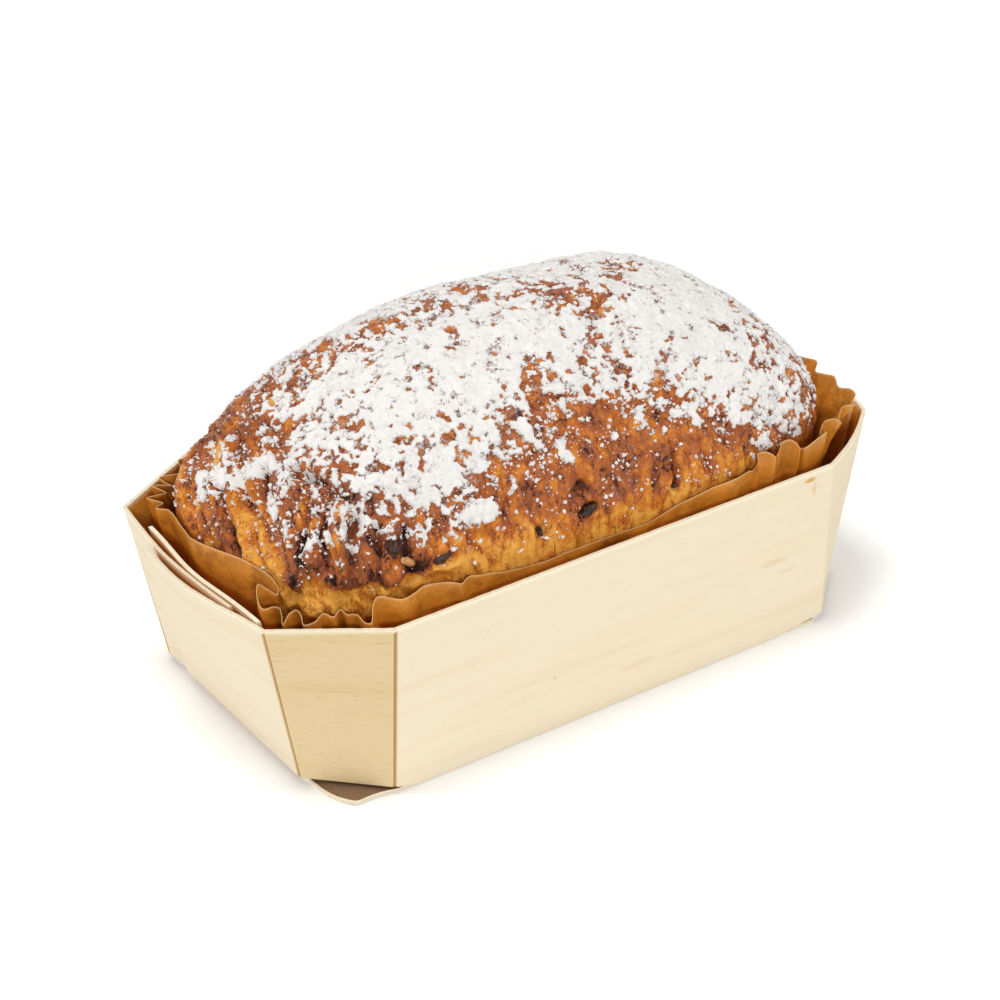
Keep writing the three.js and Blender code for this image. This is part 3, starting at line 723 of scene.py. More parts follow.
def finish(tree, shader, colour, roughness, height, bump_mm, specular=0.5):
    """Gives the shader its colour, roughness and gloss, and a bump of the given depth."""
    connect(tree, shader.inputs["Base Color"], colour)
    connect(tree, shader.inputs["Roughness"], roughness)
    connect(tree, shader.inputs["Specular IOR Level"], specular)
    normal = add_node(tree, "ShaderNodeBump", {"Height": height, "Distance": bump_mm * MM, "Strength": 1.0})
    connect(tree, shader.inputs["Normal"], normal.outputs[0])


# ---- materials: the finishes ---------------------------------------------------------------------
def sugar_dust(tree, place, share):
    """A fine white dust: specks where its share is low, a haze where it is high."""
    specks = noise_node(tree, place, 0.75, detail=2.5, roughness=0.7)
    drift = noise_node(tree, place, 3.6, detail=3, roughness=0.6)
    level = plus(tree, times(tree, specks, 0.5), times(tree, drift, 0.5))
    lack = minus(tree, 0.79, times(tree, share, 0.40))
    excess = minus(tree, level, lack)
    flecks = remap(tree, excess, 0.0, 0.025, smooth=True)
    haze = remap(tree, excess, -0.10, 0.02, 0.0, 0.13)
    return maths(tree, "MAXIMUM", flecks, haze)


def flake_gaps(tree, place, thin):
    """Branching gaps between flakes of powder, and pinholes: more where the powder is thin."""
    shift = jitter(tree, place, 1000 / 1.1, 3.0, 2.2 * MM)
    bent = vector_maths(tree, "ADD", {0: place, 1: shift})
    cells = add_node(tree, "ShaderNodeTexVoronoi", {"Vector": bent, "Scale": 1000 / 1.7},
                     feature="DISTANCE_TO_EDGE").outputs["Distance"]
    patches = noise_node(tree, place, 3.6, detail=3, roughness=0.6)
    openness = plus(tree, remap(tree, patches, 0.54, 0.76), thin)
    width = minus(tree, times(tree, openness, 0.11), 0.04)
    cracks = remap(tree, minus(tree, width, cells), -0.01, 0.03)
    holes = noise_node(tree, place, 0.5, detail=1.5, roughness=0.6)
    pinholes = remap(tree, plus(tree, holes, times(tree, openness, 0.07)), 0.72, 0.77)
    return maths(tree, "MAXIMUM", cracks, pinholes)


def crust_material(crust, sugar):
    material, tree, shader, place = new_material("baked_crust")
    mottle = noise_node(tree, place, 3.2, detail=5, roughness=0.66, distortion=0.5, squeeze=(1.0, 1.0, 0.55))
    patch = noise_node(tree, place, 9.0, squeeze=(1.0, 1.0, 0.6))
    fine = noise_node(tree, place, 0.9, detail=3, roughness=0.7)
    flow = noise_node(tree, place, 2.6, detail=3, roughness=0.55, distortion=0.9, squeeze=(1.0, 1.0, 0.35))
    # thin cracks lie where the flow crosses its middle, and only in the darker mottles; their dark lines are
    # painted shade, and the bump sinks them
    crack = remap(tree, maths(tree, "ABSOLUTE", minus(tree, flow, 0.5)), 0.022, 0.0)
    crack = times(tree, crack, remap(tree, mottle, 0.40, 0.52))
    baked = plus(tree, attribute(tree, "baked"), swing(tree, mottle, 1.1), swing(tree, fine, 0.5),
                 swing(tree, patch, 0.6))
    baked = maths(tree, "ADD", baked, times(tree, crack, 0.42), clamp=True)
    colour = colour_ramp(tree, baked, [(0.10, "ffb546"), (0.34, crust.golden), (0.54, "d07030"),
                                       (0.76, crust.brown), (0.92, "7a3b1c"), (1.0, crust.dark)])
    # painted shade: the crust goes nearly black inside the pits
    colour = blend_colour(tree, remap(tree, attribute(tree, "pit"), 0.62, 0.9), colour, "30150b")
    dust = sugar_dust(tree, place, attribute(tree, "dust"))
    colour = blend_colour(tree, dust, colour, sugar.white)
    gloss = remap(tree, mottle, 0.3, 0.7, 0.11, 0.30)
    rough = maths(tree, "ADD", gloss, times(tree, dust, 0.5), clamp=True)
    pebble = times(tree, noise_node(tree, place, 1.0, detail=4, roughness=0.7),
                   remap(tree, baked, 0.1, 0.6, 0.5, 1.0))
    height = plus(tree, minus(tree, pebble, times(tree, crack, 0.3)), times(tree, dust, 0.3))
    finish(tree, shader, colour, rough, height, 1.7, specular=0.52)
    return material


def sugar_material(sugar):
    material, tree, shader, place = new_material("powdered_sugar")
    drift = noise_node(tree, place, 5.0, detail=3)
    colour = colour_ramp(tree, drift, [(0.35, "e8e4e0"), (0.6, sugar.white)])
    gaps = flake_gaps(tree, place, remap(tree, attribute(tree, "heap"), 0.2, 2.0, 0.55, 0.0))
    bare = colour_ramp(tree, noise_node(tree, place, 2.5), [(0.35, "5c260e"), (0.65, "b05a26")])
    powder = noise_node(tree, place, 0.6, detail=3, roughness=0.6)
    finish(tree, shader, blend_colour(tree, gaps, colour, bare), 0.95, minus(tree, powder, gaps), 0.2,
           specular=0.15)
    return material


def morsel_material(name, dark, light, roughness):
    material, tree, shader, place = new_material(name)
    colour = colour_ramp(tree, noise_node(tree, place, 2.0, detail=3), [(0.3, dark), (0.7, light)])
    finish(tree, shader, colour, roughness, noise_node(tree, place, 0.9, detail=4), 0.6)
    return material


def paper_material(paper):
    material, tree, shader, place = new_material("baking_paper")
    cloud = noise_node(tree, place, 6.0, detail=5, roughness=0.62)
    fibre = noise_node(tree, place, 0.7, detail=4, roughness=0.7)
    crinkle = noise_node(tree, place, 2.2, detail=5, roughness=0.6)
    # fat stains in clouds, plus painted shade in the pleats' valleys and darker towards the bottom
    stain_and_shade = maths(tree, "ADD", remap(tree, cloud, 0.42, 0.66, 0.0, 0.65),
                  times(tree, attribute(tree, "valley_shade_and_low_darkening"), 0.9), clamp=True)
    colour = blend_colour(tree, stain_and_shade, paper.brown, paper.stain_and_shade)
    colour = blend_colour(tree, remap(tree, fibre, 0.58, 0.82, 0.0, 0.30), colour, "e6b870")
    # a painted highlight along the paper's top edge
    colour = blend_colour(tree, attribute(tree, "edge"), colour, "f3d49a")
    finish(tree, shader, colour, remap(tree, cloud, 0.3, 0.7, 0.28, 0.44), crinkle, 0.5)
    return material


def veneer_grain_group():
    """Poplar grain along U, for both veneers: short dark pores, slow streaks and a fine nap."""
    group = bpy.data.node_groups.get("veneer_grain")
    if group:
        return group
    group = bpy.data.node_groups.new("veneer_grain", "ShaderNodeTree")
    group.interface.new_socket("Vector", in_out="INPUT", socket_type="NodeSocketVector")
    for name in ("Pores", "Streaks", "Height"):
        group.interface.new_socket(name, in_out="OUTPUT", socket_type="NodeSocketFloat")
    place = group.nodes.new("NodeGroupInput").outputs["Vector"]
    end = group.nodes.new("NodeGroupOutput")
    pores = noise_node(group, place, 0.42, roughness=0.6, squeeze=(0.10, 1.0, 1.0))
    pore_mask = remap(group, pores, 0.60, 0.78)
    streaks = noise_node(group, place, 5.5, detail=4, roughness=0.55, squeeze=(0.06, 1.0, 1.0))
    nap = noise_node(group, place, 0.5, detail=3, roughness=0.7, squeeze=(0.3, 1.0, 1.0))
    for name, value in (("Pores", pore_mask), ("Streaks", streaks), ("Height", minus(group, nap, pore_mask))):
        group.links.new(value, end.inputs[name])
    return group


def mark(tree, place, spot, size):
    """1 in a small soft mark round a place on the wood, 0 outside it; sizes in millimetres."""
    away = vector_maths(tree, "SUBTRACT", {0: place, 1: tuple(v * MM for v in spot)})
    scaled = vector_maths(tree, "MULTIPLY", {0: away, 1: tuple(1 / (v * MM) for v in size)})
    far = add_node(tree, "ShaderNodeVectorMath", {0: scaled}, operation="LENGTH").outputs["Value"]
    return remap(tree, far, 1.0, 0.55)


# Marks on the front wall: place, half-sizes and strength. The first two are a chip under the rim
# and the stain below it.
WOOD_MARKS = [
    ((59, -52.6, 46.7), (2.2, 2.0, 0.8), 0.95), ((60.6, -52.4, 43.6), (0.9, 2.0, 2.6), 0.35),
    ((49, -51.4, 25), (5.5, 2.0, 1.1), 0.22), ((54, -51.3, 21), (4.0, 2.0, 0.9), 0.16),
    ((6, -50.8, 10), (7.0, 2.0, 1.0), 0.20), ((-20, -51, 16), (0.7, 2.0, 0.5), 0.5),
    ((-40.5, -52, 38), (0.5, 2.0, 0.4), 0.35),
]


def veneer_material(name, mould, baked_side):
    material, tree, shader, place = new_material(name)
    strip = add_node(tree, "ShaderNodeUVMap", uv_map="strip").outputs[0]
    grain = add_node(tree, "ShaderNodeGroup", {}, node_tree=veneer_grain_group())
    connect(tree, grain.inputs["Vector"], strip)
    streaks = remap(tree, grain.outputs["Streaks"], 0.50, 0.80, 0.0, 0.30)
    facet = attribute(tree, "facet")
    warm = maths(tree, "ADD", streaks, times(tree, facet, 0.63), clamp=True)
    colour = blend_colour(tree, warm, mould.pale, mould.grain)
    for spot, size, strength in WOOD_MARKS:
        colour = blend_colour(tree, times(tree, mark(tree, place, spot, size), strength), colour, "d9a24a")
    pores = times(tree, grain.outputs["Pores"], plus(tree, 0.04, times(tree, facet, 0.5)))
    fray = noise_node(tree, place, 0.8, detail=3, roughness=0.7, squeeze=(1.0, 1.0, 0.2))
    cut = times(tree, attribute(tree, "cut"), remap(tree, fray, 0.3, 0.5, 0.55, 1.0))
    # the last layer darkens the base slab: painted shade between its plies and painted shadow on its top
    layers = [(pores, "b08a4e"), (times(tree, attribute(tree, "inside"), baked_side), mould.baked),
              (cut, "fbf1d6"), (attribute(tree, "score"), "a36d1f"), (attribute(tree, "stain_and_shade"), "64360f")]
    for share, tint in layers:
        colour = blend_colour(tree, share, colour, tint)
    finish(tree, shader, colour, 0.6, grain.outputs["Height"], 0.06, specular=0.3)
    return material


# ---- pieces: the crust ---------------------------------------------------------------------------
# Heights of the few rows of the crust that the liner hides, and of the fine rows above them.
HIDDEN_ROWS = (UNDERSIDE_Z, 7, 12, 20, 29, 36, 41)
FINE_ROWS_FROM, FINE_ROWS_TO = 44, 74


def build_crust(settings, sugar):
    spacing, top = settings.spacing / MM, SHOULDER_Z + LOAF_CROWN
    fine = np.arange(FINE_ROWS_FROM, FINE_ROWS_TO, spacing)
    crown = graded(fine[-1] + spacing, FINE_ROWS_TO + 2, top - 1, spacing, 1.5 * spacing)
    box, faces = box_sides(spacing, np.concatenate([HIDDEN_ROWS, fine, crown]))
    points, _, marks = crust_at(box, settings.wrinkle / MM)
    x, _, z = points.T
    sole = np.flatnonzero(box[:, 2] < UNDERSIDE_Z + 1e-6)
    out = points[sole] - points[sole].mean(0)
    around = np.argsort(np.arctan2(out[:, 1], out[:, 0]))
    faces = [*faces.tolist(), sole[around][::-1].tolist()]
    # the lobes hang down in the colour of the crust that they come from
    unhung = points + np.outer(marks["hang"], (0, 0, 1))
    # a thin band of painted shade along the lip's lower rim, under its overhang
    baked = baked_share(unhung, marks["folded"], marks["furrow_shade"]) + 0.36 * bump(marks["lip"], 1.6)
    specks = smoothstep(50, 62, z) * mix(0.10, 0.28, smoothstep(-72, -50, x))
    attributes = {
        "baked": np.clip(baked, 0, 1),
        # where the pits get their painted shade
        "pit": marks["pit"],
        "dust": np.maximum(0.7 * sugar_cover(points), specks),
    }
    piece = add_piece("crust", points, faces, crust_material(settings, sugar), attributes)
    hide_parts("loaf")
    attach(piece, ROOT)


# ---- pieces: the sugar ---------------------------------------------------------------------------
def sugar_heap(points):
    """Above 0 where sugar lies, and higher where it lies thick."""
    ragged = (1.1 * noise(points, 3.4, 40) + 1.05 * noise(points, 1.8, 41) + 0.6 * noise(points, 0.9, 42)
              + 0.6 * noise(points, 8, 43))
    ragged /= ragged.std()
    cracks = (1 - furrowed(points, 2.6, 44)) * smoothstep(-0.1, 0.5, noise(points, 6, 45))
    cover = np.clip(sugar_cover(points), 0.004, 0.97)
    heap = ragged + 0.62 * np.log(cover / (1 - cover)) - 2.2 * cracks
    return heap + spots(points, LUMPS)


# The coat's lowest row, the heap at its ragged edge, and where its areas meet along X.
SUGAR_FROM, SUGAR_EDGE = 53, -0.12
SUGAR_SEAMS = (-45, -5, 38)


def build_sugar(settings, crust):
    """The coat of sugar: a thin ragged shell whose edges dip into the crust."""
    spacing = settings.spacing / MM
    box, faces = box_sides(spacing, np.arange(SUGAR_FROM, SHOULDER_Z + LOAF_CROWN - spacing / 2, spacing))
    points, normal, _ = crust_at(box, crust.wrinkle / MM)
    heap = sugar_heap(points)
    depth = 1.5 * smoothstep(-0.2, 0.35, heap) - 0.6 + 0.14 * np.clip(heap - 0.5, 0, 2.5)
    crumbly = 0.10 * noise(points, 1.5, 47) + 0.07 * noise(points, 0.8, 48)
    lift = settings.depth / MM * depth + np.where(heap > 0.2, crumbly, 0)
    points = points + normal * lift[:, None]
    material = sugar_material(settings)
    keep = (heap[faces] > SUGAR_EDGE).any(1)
    part = np.searchsorted(SUGAR_SEAMS, box[faces[:, 0], 0], side="right")
    for number, name in enumerate(("sugar_left", "sugar_middle_left", "sugar_middle_right", "sugar_right")):
        used, corners = np.unique(faces[keep & (part == number)], return_inverse=True)
        piece = add_piece(name, points[used], corners.reshape(-1, 4), material, {"heap": heap[used]})
        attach(piece, ROOT)


# A clump's size is the least size and a random share, skewed so that most stay small, of the
# spread; its faces are shifted by fine noise.
CLUMP_LEAST, CLUMP_SPREAD, CLUMP_SKEW = 0.5, 3.6, 5.0
CLUMP_NOISE_SCALE, CLUMP_SHIFT = 2600.0, 1.4
FULL_TURN = 6.28


def clump_tree(material, count, radius):
    """Scatters small crumbly clumps over a mesh, as thickly as its "clumps" attribute says."""
    tree = bpy.data.node_groups.new("loose_clumps", "GeometryNodeTree")
    tree.interface.new_socket("Geometry", in_out="INPUT", socket_type="NodeSocketGeometry")
    density = tree.interface.new_socket("Density", in_out="INPUT", socket_type="NodeSocketFloat")
    size = tree.interface.new_socket("Radius", in_out="INPUT", socket_type="NodeSocketFloat")
    tree.interface.new_socket("Geometry", in_out="OUTPUT", socket_type="NodeSocketGeometry")
    start, end = tree.nodes.new("NodeGroupInput"), tree.nodes.new("NodeGroupOutput")
    share = add_node(tree, "GeometryNodeInputNamedAttribute", {"Name": "clumps"}, data_type="FLOAT")
    per_area = times(tree, share.outputs["Attribute"], start.outputs["Density"])
    scatter = add_node(tree, "GeometryNodeDistributePointsOnFaces",
                       {"Mesh": start.outputs["Geometry"], "Density": per_area, "Seed": 5})
    clump = add_node(tree, "GeometryNodeMeshIcoSphere", {"Radius": start.outputs["Radius"],
                                                          "Subdivisions": 1})
    turn = add_node(tree, "FunctionNodeRandomValue", {0: (0, 0, 0), 1: (FULL_TURN,) * 3, "Seed": 1},
                    data_type="FLOAT_VECTOR")
    spread = add_node(tree, "FunctionNodeRandomValue", {2: 0.0, 3: 1.0, "Seed": 2}, data_type="FLOAT")
    skewed = maths(tree, "POWER", spread.outputs[1], CLUMP_SKEW)
    grown = plus(tree, times(tree, skewed, CLUMP_SPREAD), CLUMP_LEAST)
    copies = add_node(tree, "GeometryNodeInstanceOnPoints",
                      {"Points": scatter.outputs["Points"], "Instance": clump.outputs["Mesh"],
                       "Rotation": turn.outputs[0], "Scale": grown})
    real = add_node(tree, "GeometryNodeRealizeInstances", {"Geometry": copies.outputs[0]})
    position = add_node(tree, "GeometryNodeInputPosition").outputs[0]
    shift = jitter(tree, position, CLUMP_NOISE_SCALE, 2.0, CLUMP_SHIFT * MM)
    crumbled = add_node(tree, "GeometryNodeSetPosition", {"Geometry": real.outputs[0], "Offset": shift})
    finish = add_node(tree, "GeometryNodeSetMaterial", {"Geometry": crumbled.outputs[0],
                                                        "Material": material})
    tree.links.new(finish.outputs[0], end.inputs["Geometry"])
    return tree, {density.identifier: count, size.identifier: radius}


def grown_mesh(host, tree, values, name):
    """The plain mesh that a Geometry Nodes tree makes on a host object."""
    modifier = host.modifiers.new(name, "NODES")
    modifier.node_group = tree
    for identifier, value in values.items():
        modifier[identifier] = value
    bpy.context.view_layer.update()
    evaluated = host.evaluated_get(bpy.context.evaluated_depsgraph_get())
    mesh = bpy.data.meshes.new_from_object(evaluated)
    mesh.name = name
    host.modifiers.remove(modifier)
    return mesh


def build_clumps(settings, crust):
    """Loose clumps of sugar round the coat's border and on the bare crust below it."""
    spacing = 2.0
    box, faces = box_sides(spacing, np.arange(52, SHOULDER_Z + LOAF_CROWN - 1, spacing))
    points, normal, _ = crust_at(box, crust.wrinkle / MM)
    cover = sugar_cover(points)
    patchy = smoothstep(-0.1, 0.6, layered_noise(points, 7, 2, seed=50))
    clumps = (bump(cover - 0.3, 0.35) + 0.10) * (0.10 + patchy) * smoothstep(50, 58, points[:, 2])
    host = add_piece("clump_host", points + 0.06 * normal, faces,
                     attributes={"clumps": clumps, "heap": clumps + 3})
    corners = points[faces]
    area = np.linalg.norm(np.cross(corners[:, 2] - corners[:, 0], corners[:, 3] - corners[:, 1]), axis=1) / 2
    weight = (area * clumps[faces].mean(1)).sum() * MM * MM
    material = bpy.data.materials["powdered_sugar"]
    tree, values = clump_tree(material, settings.grains / weight, settings.grain_size)
    mesh = grown_mesh(host, tree, values, "sugar_clumps")
    bpy.data.objects.remove(host)
    piece = new_object("sugar_clumps", mesh)
    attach(piece, ROOT)


def morsels(name, places, depth, material):
    """Small wrinkled lumps sunk in the crust, with about half of each one showing."""
    rings, sides = 22, 32
    theta, phi = np.meshgrid(np.linspace(0, 2 * np.pi, sides, endpoint=False),
                             np.linspace(0, np.pi, rings), indexing="ij")
    ball = np.stack([np.cos(theta) * np.sin(phi), np.sin(theta) * np.sin(phi), -np.cos(phi)], -1)
    ball = ball.reshape(-1, 3)
    points, faces = [], []
    for number, (place, half, turn) in enumerate(places):
        wrinkles = 0.16 * noise(ball, 0.55, 60 + number) - depth * (1 - furrowed(ball, 0.8, 80 + number))
        dented = ball * (1 + wrinkles)[:, None] * half
        c, s = math.cos(math.radians(turn)), math.sin(math.radians(turn))
        turned = np.stack([c * dented[:, 0] - s * dented[:, 2], dented[:, 1],
                           s * dented[:, 0] + c * dented[:, 2]], 1)
        points.append(turned + place)
        faces += grid_faces(sides, rings, closed=True, start=number * len(ball))
    points, faces = merged(np.vstack(points), faces)
    piece = add_piece(name, points, [tuple(dict.fromkeys(face)) for face in faces.tolist()], material)
    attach(piece, ROOT)


# ---- pieces: the paper liner ---------------------------------------------------------------------
# The liner's top edge: turn round the loaf in degrees, 180 at the left end and 270 at the front,
# and the height there in millimetres. Across the right end it lies in overlapping panels.
PAPER_EDGE = [
    (0, 53), (8, 54.5), (12, 55.5), (28, 54), (40, 51.5), (50, 55), (62, 52.5), (75, 50), (90, 49.6),
    (105, 50.5), (118, 53), (130, 50), (140, 49.5), (150, 50), (160, 51.5), (170, 53), (174.6, 52.6),
    (251, 52.2), (258, 49.6), (264, 48.5), (268, 48.8), (272, 48.3), (275.5, 50.6), (281, 52), (360, 53),
]

# The top edge round the front left corner, where the pleats fold over into a fin, two loops,
# ruffles and a broad fold: X, Y and height, from the left end to the front.
CORNER_EDGE = [
    (-88.6, 10.6, 52.6), (-89, 3, 53.8), (-87.6, -6, 55), (-85.4, -12.5, 55.3), (-83.8, -18.3, 55),
    (-82.9, -23, 54.6), (-82.6, -26.2, 52.6), (-83.6, -27.2, 51.8), (-85.6, -25.6, 53.4),
    (-87.4, -25.2, 55), (-88.8, -27, 52.6), (-88.6, -29, 50.6), (-86.4, -30.2, 51), (-85.2, -30.8, 50.6),
    (-85.9, -33.2, 49.8), (-87, -35.4, 49), (-84.6, -34.4, 50.6), (-82.6, -34.4, 50.9),
    (-82.6, -36.8, 50.2), (-83.2, -38.6, 49.2), (-81, -39.6, 49.6), (-77.8, -38.8, 50.4),
    (-76.4, -40.8, 50), (-73.8, -39.6, 50.5), (-73.2, -41.8, 50), (-71.3, -43.2, 50), (-71, -46.2, 49.2),
    (-70.2, -47.6, 49.6), (-68.4, -45.6, 52.4), (-66.6, -44.8, 54), (-62, -48.2, 53.4),
    (-57.9, -47.4, 53.2), (-54.2, -46.1, 53.2), (-50.6, -46.8, 53), (-47.2, -48, 52.8), (-43, -48.6, 52.4),
]

# The same for the front right corner and the right end, which the paper crosses in four panels.
RIGHT_EDGE = [
    (31, -48.4, 51.9), (38.8, -48.7, 52.9), (43, -47.2, 52.4), (44.8, -46.6, 51.8), (45.6, -47.6, 54.4),
    (46.4, -46.2, 55.6), (48.6, -46.4, 55.8), (50, -47.8, 55.2), (50.7, -48.3, 54.2), (51, -46, 52.4),
    (51.9, -43.6, 51.2), (52.7, -46, 53), (53.5, -46.6, 55.6), (54.6, -45.8, 56.2), (57.4, -45.9, 56.2),
    (58.4, -47.2, 55.4), (58.8, -48.1, 54.2), (59, -45.8, 52.4), (60, -43.2, 51.4), (60.5, -46, 52.6),
    (60.9, -47.8, 53.6), (64.8, -47.3, 54.4), (68.9, -46.5, 55), (69.7, -45, 54), (70, -42.8, 52.8),
    (71.9, -42.2, 55.2), (74, -43.6, 55.9), (75.7, -44.3, 54.6), (76.3, -42, 52.2), (78.2, -40.4, 53),
    (82.4, -37.4, 54.2), (84, -38.6, 54.6), (85.4, -38.4, 54.2),
    (86.6, -35.6, 53), (89.4, -34, 54), (89.8, -31.6, 54.4), (89, -27.6, 53.6), (89.9, -24.8, 55.1),
    (89.7, -21, 54.4), (90, -16.8, 53.5), (91.4, -15.8, 55.3), (91.3, -10.4, 54.4), (91.2, -3.8, 53.2),
    (91, 3, 53),
]

# Each folded stretch of the edge, and the turns it runs between, in degrees.
FOLDED_EDGES = [(CORNER_EDGE, 174.6, 250.8), (RIGHT_EDGE, 281.0, 362.0)]
PLEAT_SPACING = 5.9


def plan_point(angle, a, b):
    return np.stack([a * signed_power(np.cos(angle), 2 / PLAN_POWER),
                     b * signed_power(np.sin(angle), 2 / PLAN_POWER)], 1)


TURNS = np.linspace(0, 4 * np.pi, 5761)
RUNS = np.concatenate([[0], np.cumsum(np.linalg.norm(
    np.diff(plan_point(TURNS, LOAF_HALF_LENGTH, LOAF_HALF_WIDTH), axis=0), axis=1))])


def evenly_round(start, end, count):
    """Turns round the loaf, in radians, that lie evenly along its outline."""
    low, high = np.interp(np.radians([start, end]), TURNS, RUNS)
    return np.interp(np.linspace(low, high, count, endpoint=False), RUNS, TURNS)


def corner_share(angle):
    return smoothstep(0.45, 0.85, np.abs(np.sin(2 * angle)))


def pleat_wave(angle):
    """0 in a pleat's valley and 1 on its crest, with rounded folds."""
    run = np.interp(angle % (2 * np.pi), TURNS, RUNS)
    phase = run / PLEAT_SPACING + 0.22 * np.sin(run / 6.4)
    sharp = 0.985
    return 0.5 + 0.5 * np.arcsin(sharp * np.cos(2 * np.pi * phase)) / math.asin(sharp)


def liner_wall(angle, z, pleated):
    """A place on the face of the liner that touches the loaf, with its corner pleats or without."""
    a, b = loaf_half_sizes(z)
    flare = np.maximum(z - SHOULDER_Z, 0) * LINER_FLARE
    a, b = a + LINER_CLEARANCE + flare, b + LINER_CLEARANCE + flare
    x, y = plan_point(angle, a, b).T
    steep = PLAN_POWER - 1
    normal = np.stack([signed_power(x / a, steep) / a, signed_power(y / b, steep) / b], 1)
    normal /= np.linalg.norm(normal, axis=1, keepdims=True)
    corner = corner_share(angle) * pleated
    crest = pleat_wave(angle) * (0.8 + 0.2 * np.sin(3 * angle + 1))
    folded = corner * (LINER_SLACK + PLEAT_DEPTH * crest)
    high = smoothstep(25, 52, z)
    wave = (1 - corner) * high * (0.35 * np.sin(9 * angle + 0.6) + 0.25 * np.sin(17 * angle + z / 9))
    lean = 2.4 * bump(y + 26, 9) * smoothstep(20, 48, z) * smoothstep(-60, -78, x)
    right_end = smoothstep(70, 84, x)
    spread = 4.4 * right_end * smoothstep(47, 57, z)
    out = folded + wave - lean + spread
    tilt = corner * high * 1.1 * np.sin(PLEATS_ROUND * angle * 0.5 + 2)
    return np.stack([x + normal[:, 0] * out - normal[:, 1] * tilt + LOAF_CENTRE_X,
                     y + normal[:, 1] * out + normal[:, 0] * tilt, z], 1)


def edge_height(angle):
    degrees = np.degrees(angle) % 360
    turns, heights = zip(*PAPER_EDGE)
    return np.interp(degrees, turns, heights) + 0.2 * np.sin(40 * angle) * corner_share(angle)


def plan_offset(ring, distance):
    """A closed ring of points moved outwards in plan."""
    along = np.roll(ring, -1, axis=0) - np.roll(ring, 1, axis=0)
    along /= np.linalg.norm(along[:, :2], axis=1, keepdims=True) + 1e-9
    return ring + np.stack([along[:, 1], -along[:, 0], np.zeros(len(ring))], 1) * distance


def liner_rings(levels):
    """The liner's inner face as rings, one for each share of its height."""
    angles, path, way = [], [], []
    for number, (edge, start, end) in enumerate(FOLDED_EDGES):
        count = 11 * len(edge)
        following = FOLDED_EDGES[(number + 1) % len(FOLDED_EDGES)][1]
        gap = (following - end) % 360
        plain = round(5 * gap)
        angles += [evenly_round(start, end, count), evenly_round(end % 360, end % 360 + gap, plain)]
        path += [spline(edge, count), np.zeros((plain, 3))]
        way += [np.linspace(0, 1, count), np.zeros(plain)]
    angles, path, way = np.concatenate(angles), np.vstack(path), np.concatenate(way)
    folded = smoothstep(0, 0.05, way) * smoothstep(1, 0.95, way)
    top = mix(edge_height(angles), path[:, 2], folded)
    flat_top = liner_wall(angles, top, 0.0)
    shift = (path - flat_top) * [1, 1, 0]
    rings = []
    for share in levels:
        z = mix(LINER_SOLE_Z + 3.0, top, share)
        turned = liner_wall(angles, z, 0.0) + shift * smoothstep(0.1, 1.0, share)
        rings.append(mix(liner_wall(angles, z, 1.0), turned, folded[:, None]))
    return angles, rings


# The liner's rows, as shares of its height: evenly spaced, then close together at its edge.
LINER_ROWS = np.concatenate([np.linspace(0, 0.965, 21), [0.985, 0.996, 1.0]])
# How far, in columns, a pleat's valley is looked for on either side, and how deep one is.
VALLEY_REACH, VALLEY_DEPTH = 34, 2.2


def build_liner(settings):
    angles, rings = liner_rings(LINER_ROWS)
    columns, low, thickness = len(angles), LINER_SOLE_Z, settings.thickness / MM

    def face(outwards, floor_z):
        wall = np.stack([plan_offset(ring, outwards) for ring in rings], 1)
        centre = np.array([LOAF_CENTRE_X, 0, floor_z])
        flat = wall[:, :1] * [1, 1, 0] + [0, 0, floor_z]
        inner_rings = [centre + (flat - centre) * share for share in (0.5, 0.955)]
        return np.concatenate(inner_rings + [wall], 1)

    outer, inner = face(thickness, low), face(0.0, low + thickness)
    rows = outer.shape[1]
    # The sheet has no hole in its floor: one face closes each side in place of the innermost ring.
    outer_hub = [i * rows for i in range(columns)]
    inner_hub = [columns * rows + corner for corner in outer_hub]
    hub = {*outer_hub, *inner_hub}
    faces = [face for face in sheet_faces(columns, rows, closed=True) if not hub.issuperset(face)]
    faces += [tuple(outer_hub[::-1]), tuple(inner_hub)]

    share = np.concatenate([[0, 0], LINER_ROWS])
    # Columns that lie inwards of the paper on both sides of them are the valleys between pleats.
    reach = np.linalg.norm(rings[-1][:, :2], axis=1)
    before, after = (np.max([np.roll(reach, side * shift) for shift in range(0, VALLEY_REACH, 3)], axis=0)
                     for side in (1, -1))
    valley = np.clip((np.minimum(before, after) - reach) / VALLEY_DEPTH, 0, 1)[:, None] * np.ones(rows)
    # painted shade in the valleys between pleats, and darker towards the bottom
    valley_shade_and_low_darkening = np.clip(1.2 * valley * (1.6 - 0.7 * share) + 1.1 * (0.72 - share), 0, 1)
    # a painted highlight along the top edge
    edge = 0.5 * np.tile(smoothstep(0.992, 1.0, share), (columns, 1))
    attributes = {"valley_shade_and_low_darkening": np.tile(valley_shade_and_low_darkening.ravel(), 2), "edge": np.tile(edge.ravel(), 2)}
    piece = add_piece("baking_paper", two_faced(outer, inner), faces, paper_material(settings), attributes)
    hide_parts("paper_liner")
    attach(piece, ROOT)


# ---- pieces: the mould ---------------------------------------------------------------------------
def offset_line(line, distance):
    """Moves a plan line (n, 2) to its left, with mitred corners."""
    step = np.diff(line, axis=0)
    step /= np.linalg.norm(step, axis=1, keepdims=True)
    into, out = np.vstack([step[:1], step]), np.vstack([step, step[-1:]])
    along = into + out
    along /= np.linalg.norm(along, axis=1, keepdims=True)
    stretch = 1 / np.maximum((along * into).sum(1), 0.5)
    return line + np.stack([-along[:, 1], along[:, 0]], 1) * (distance * stretch)[:, None]


def straight(start, end, count):
    return np.linspace(start, end, count, endpoint=False)


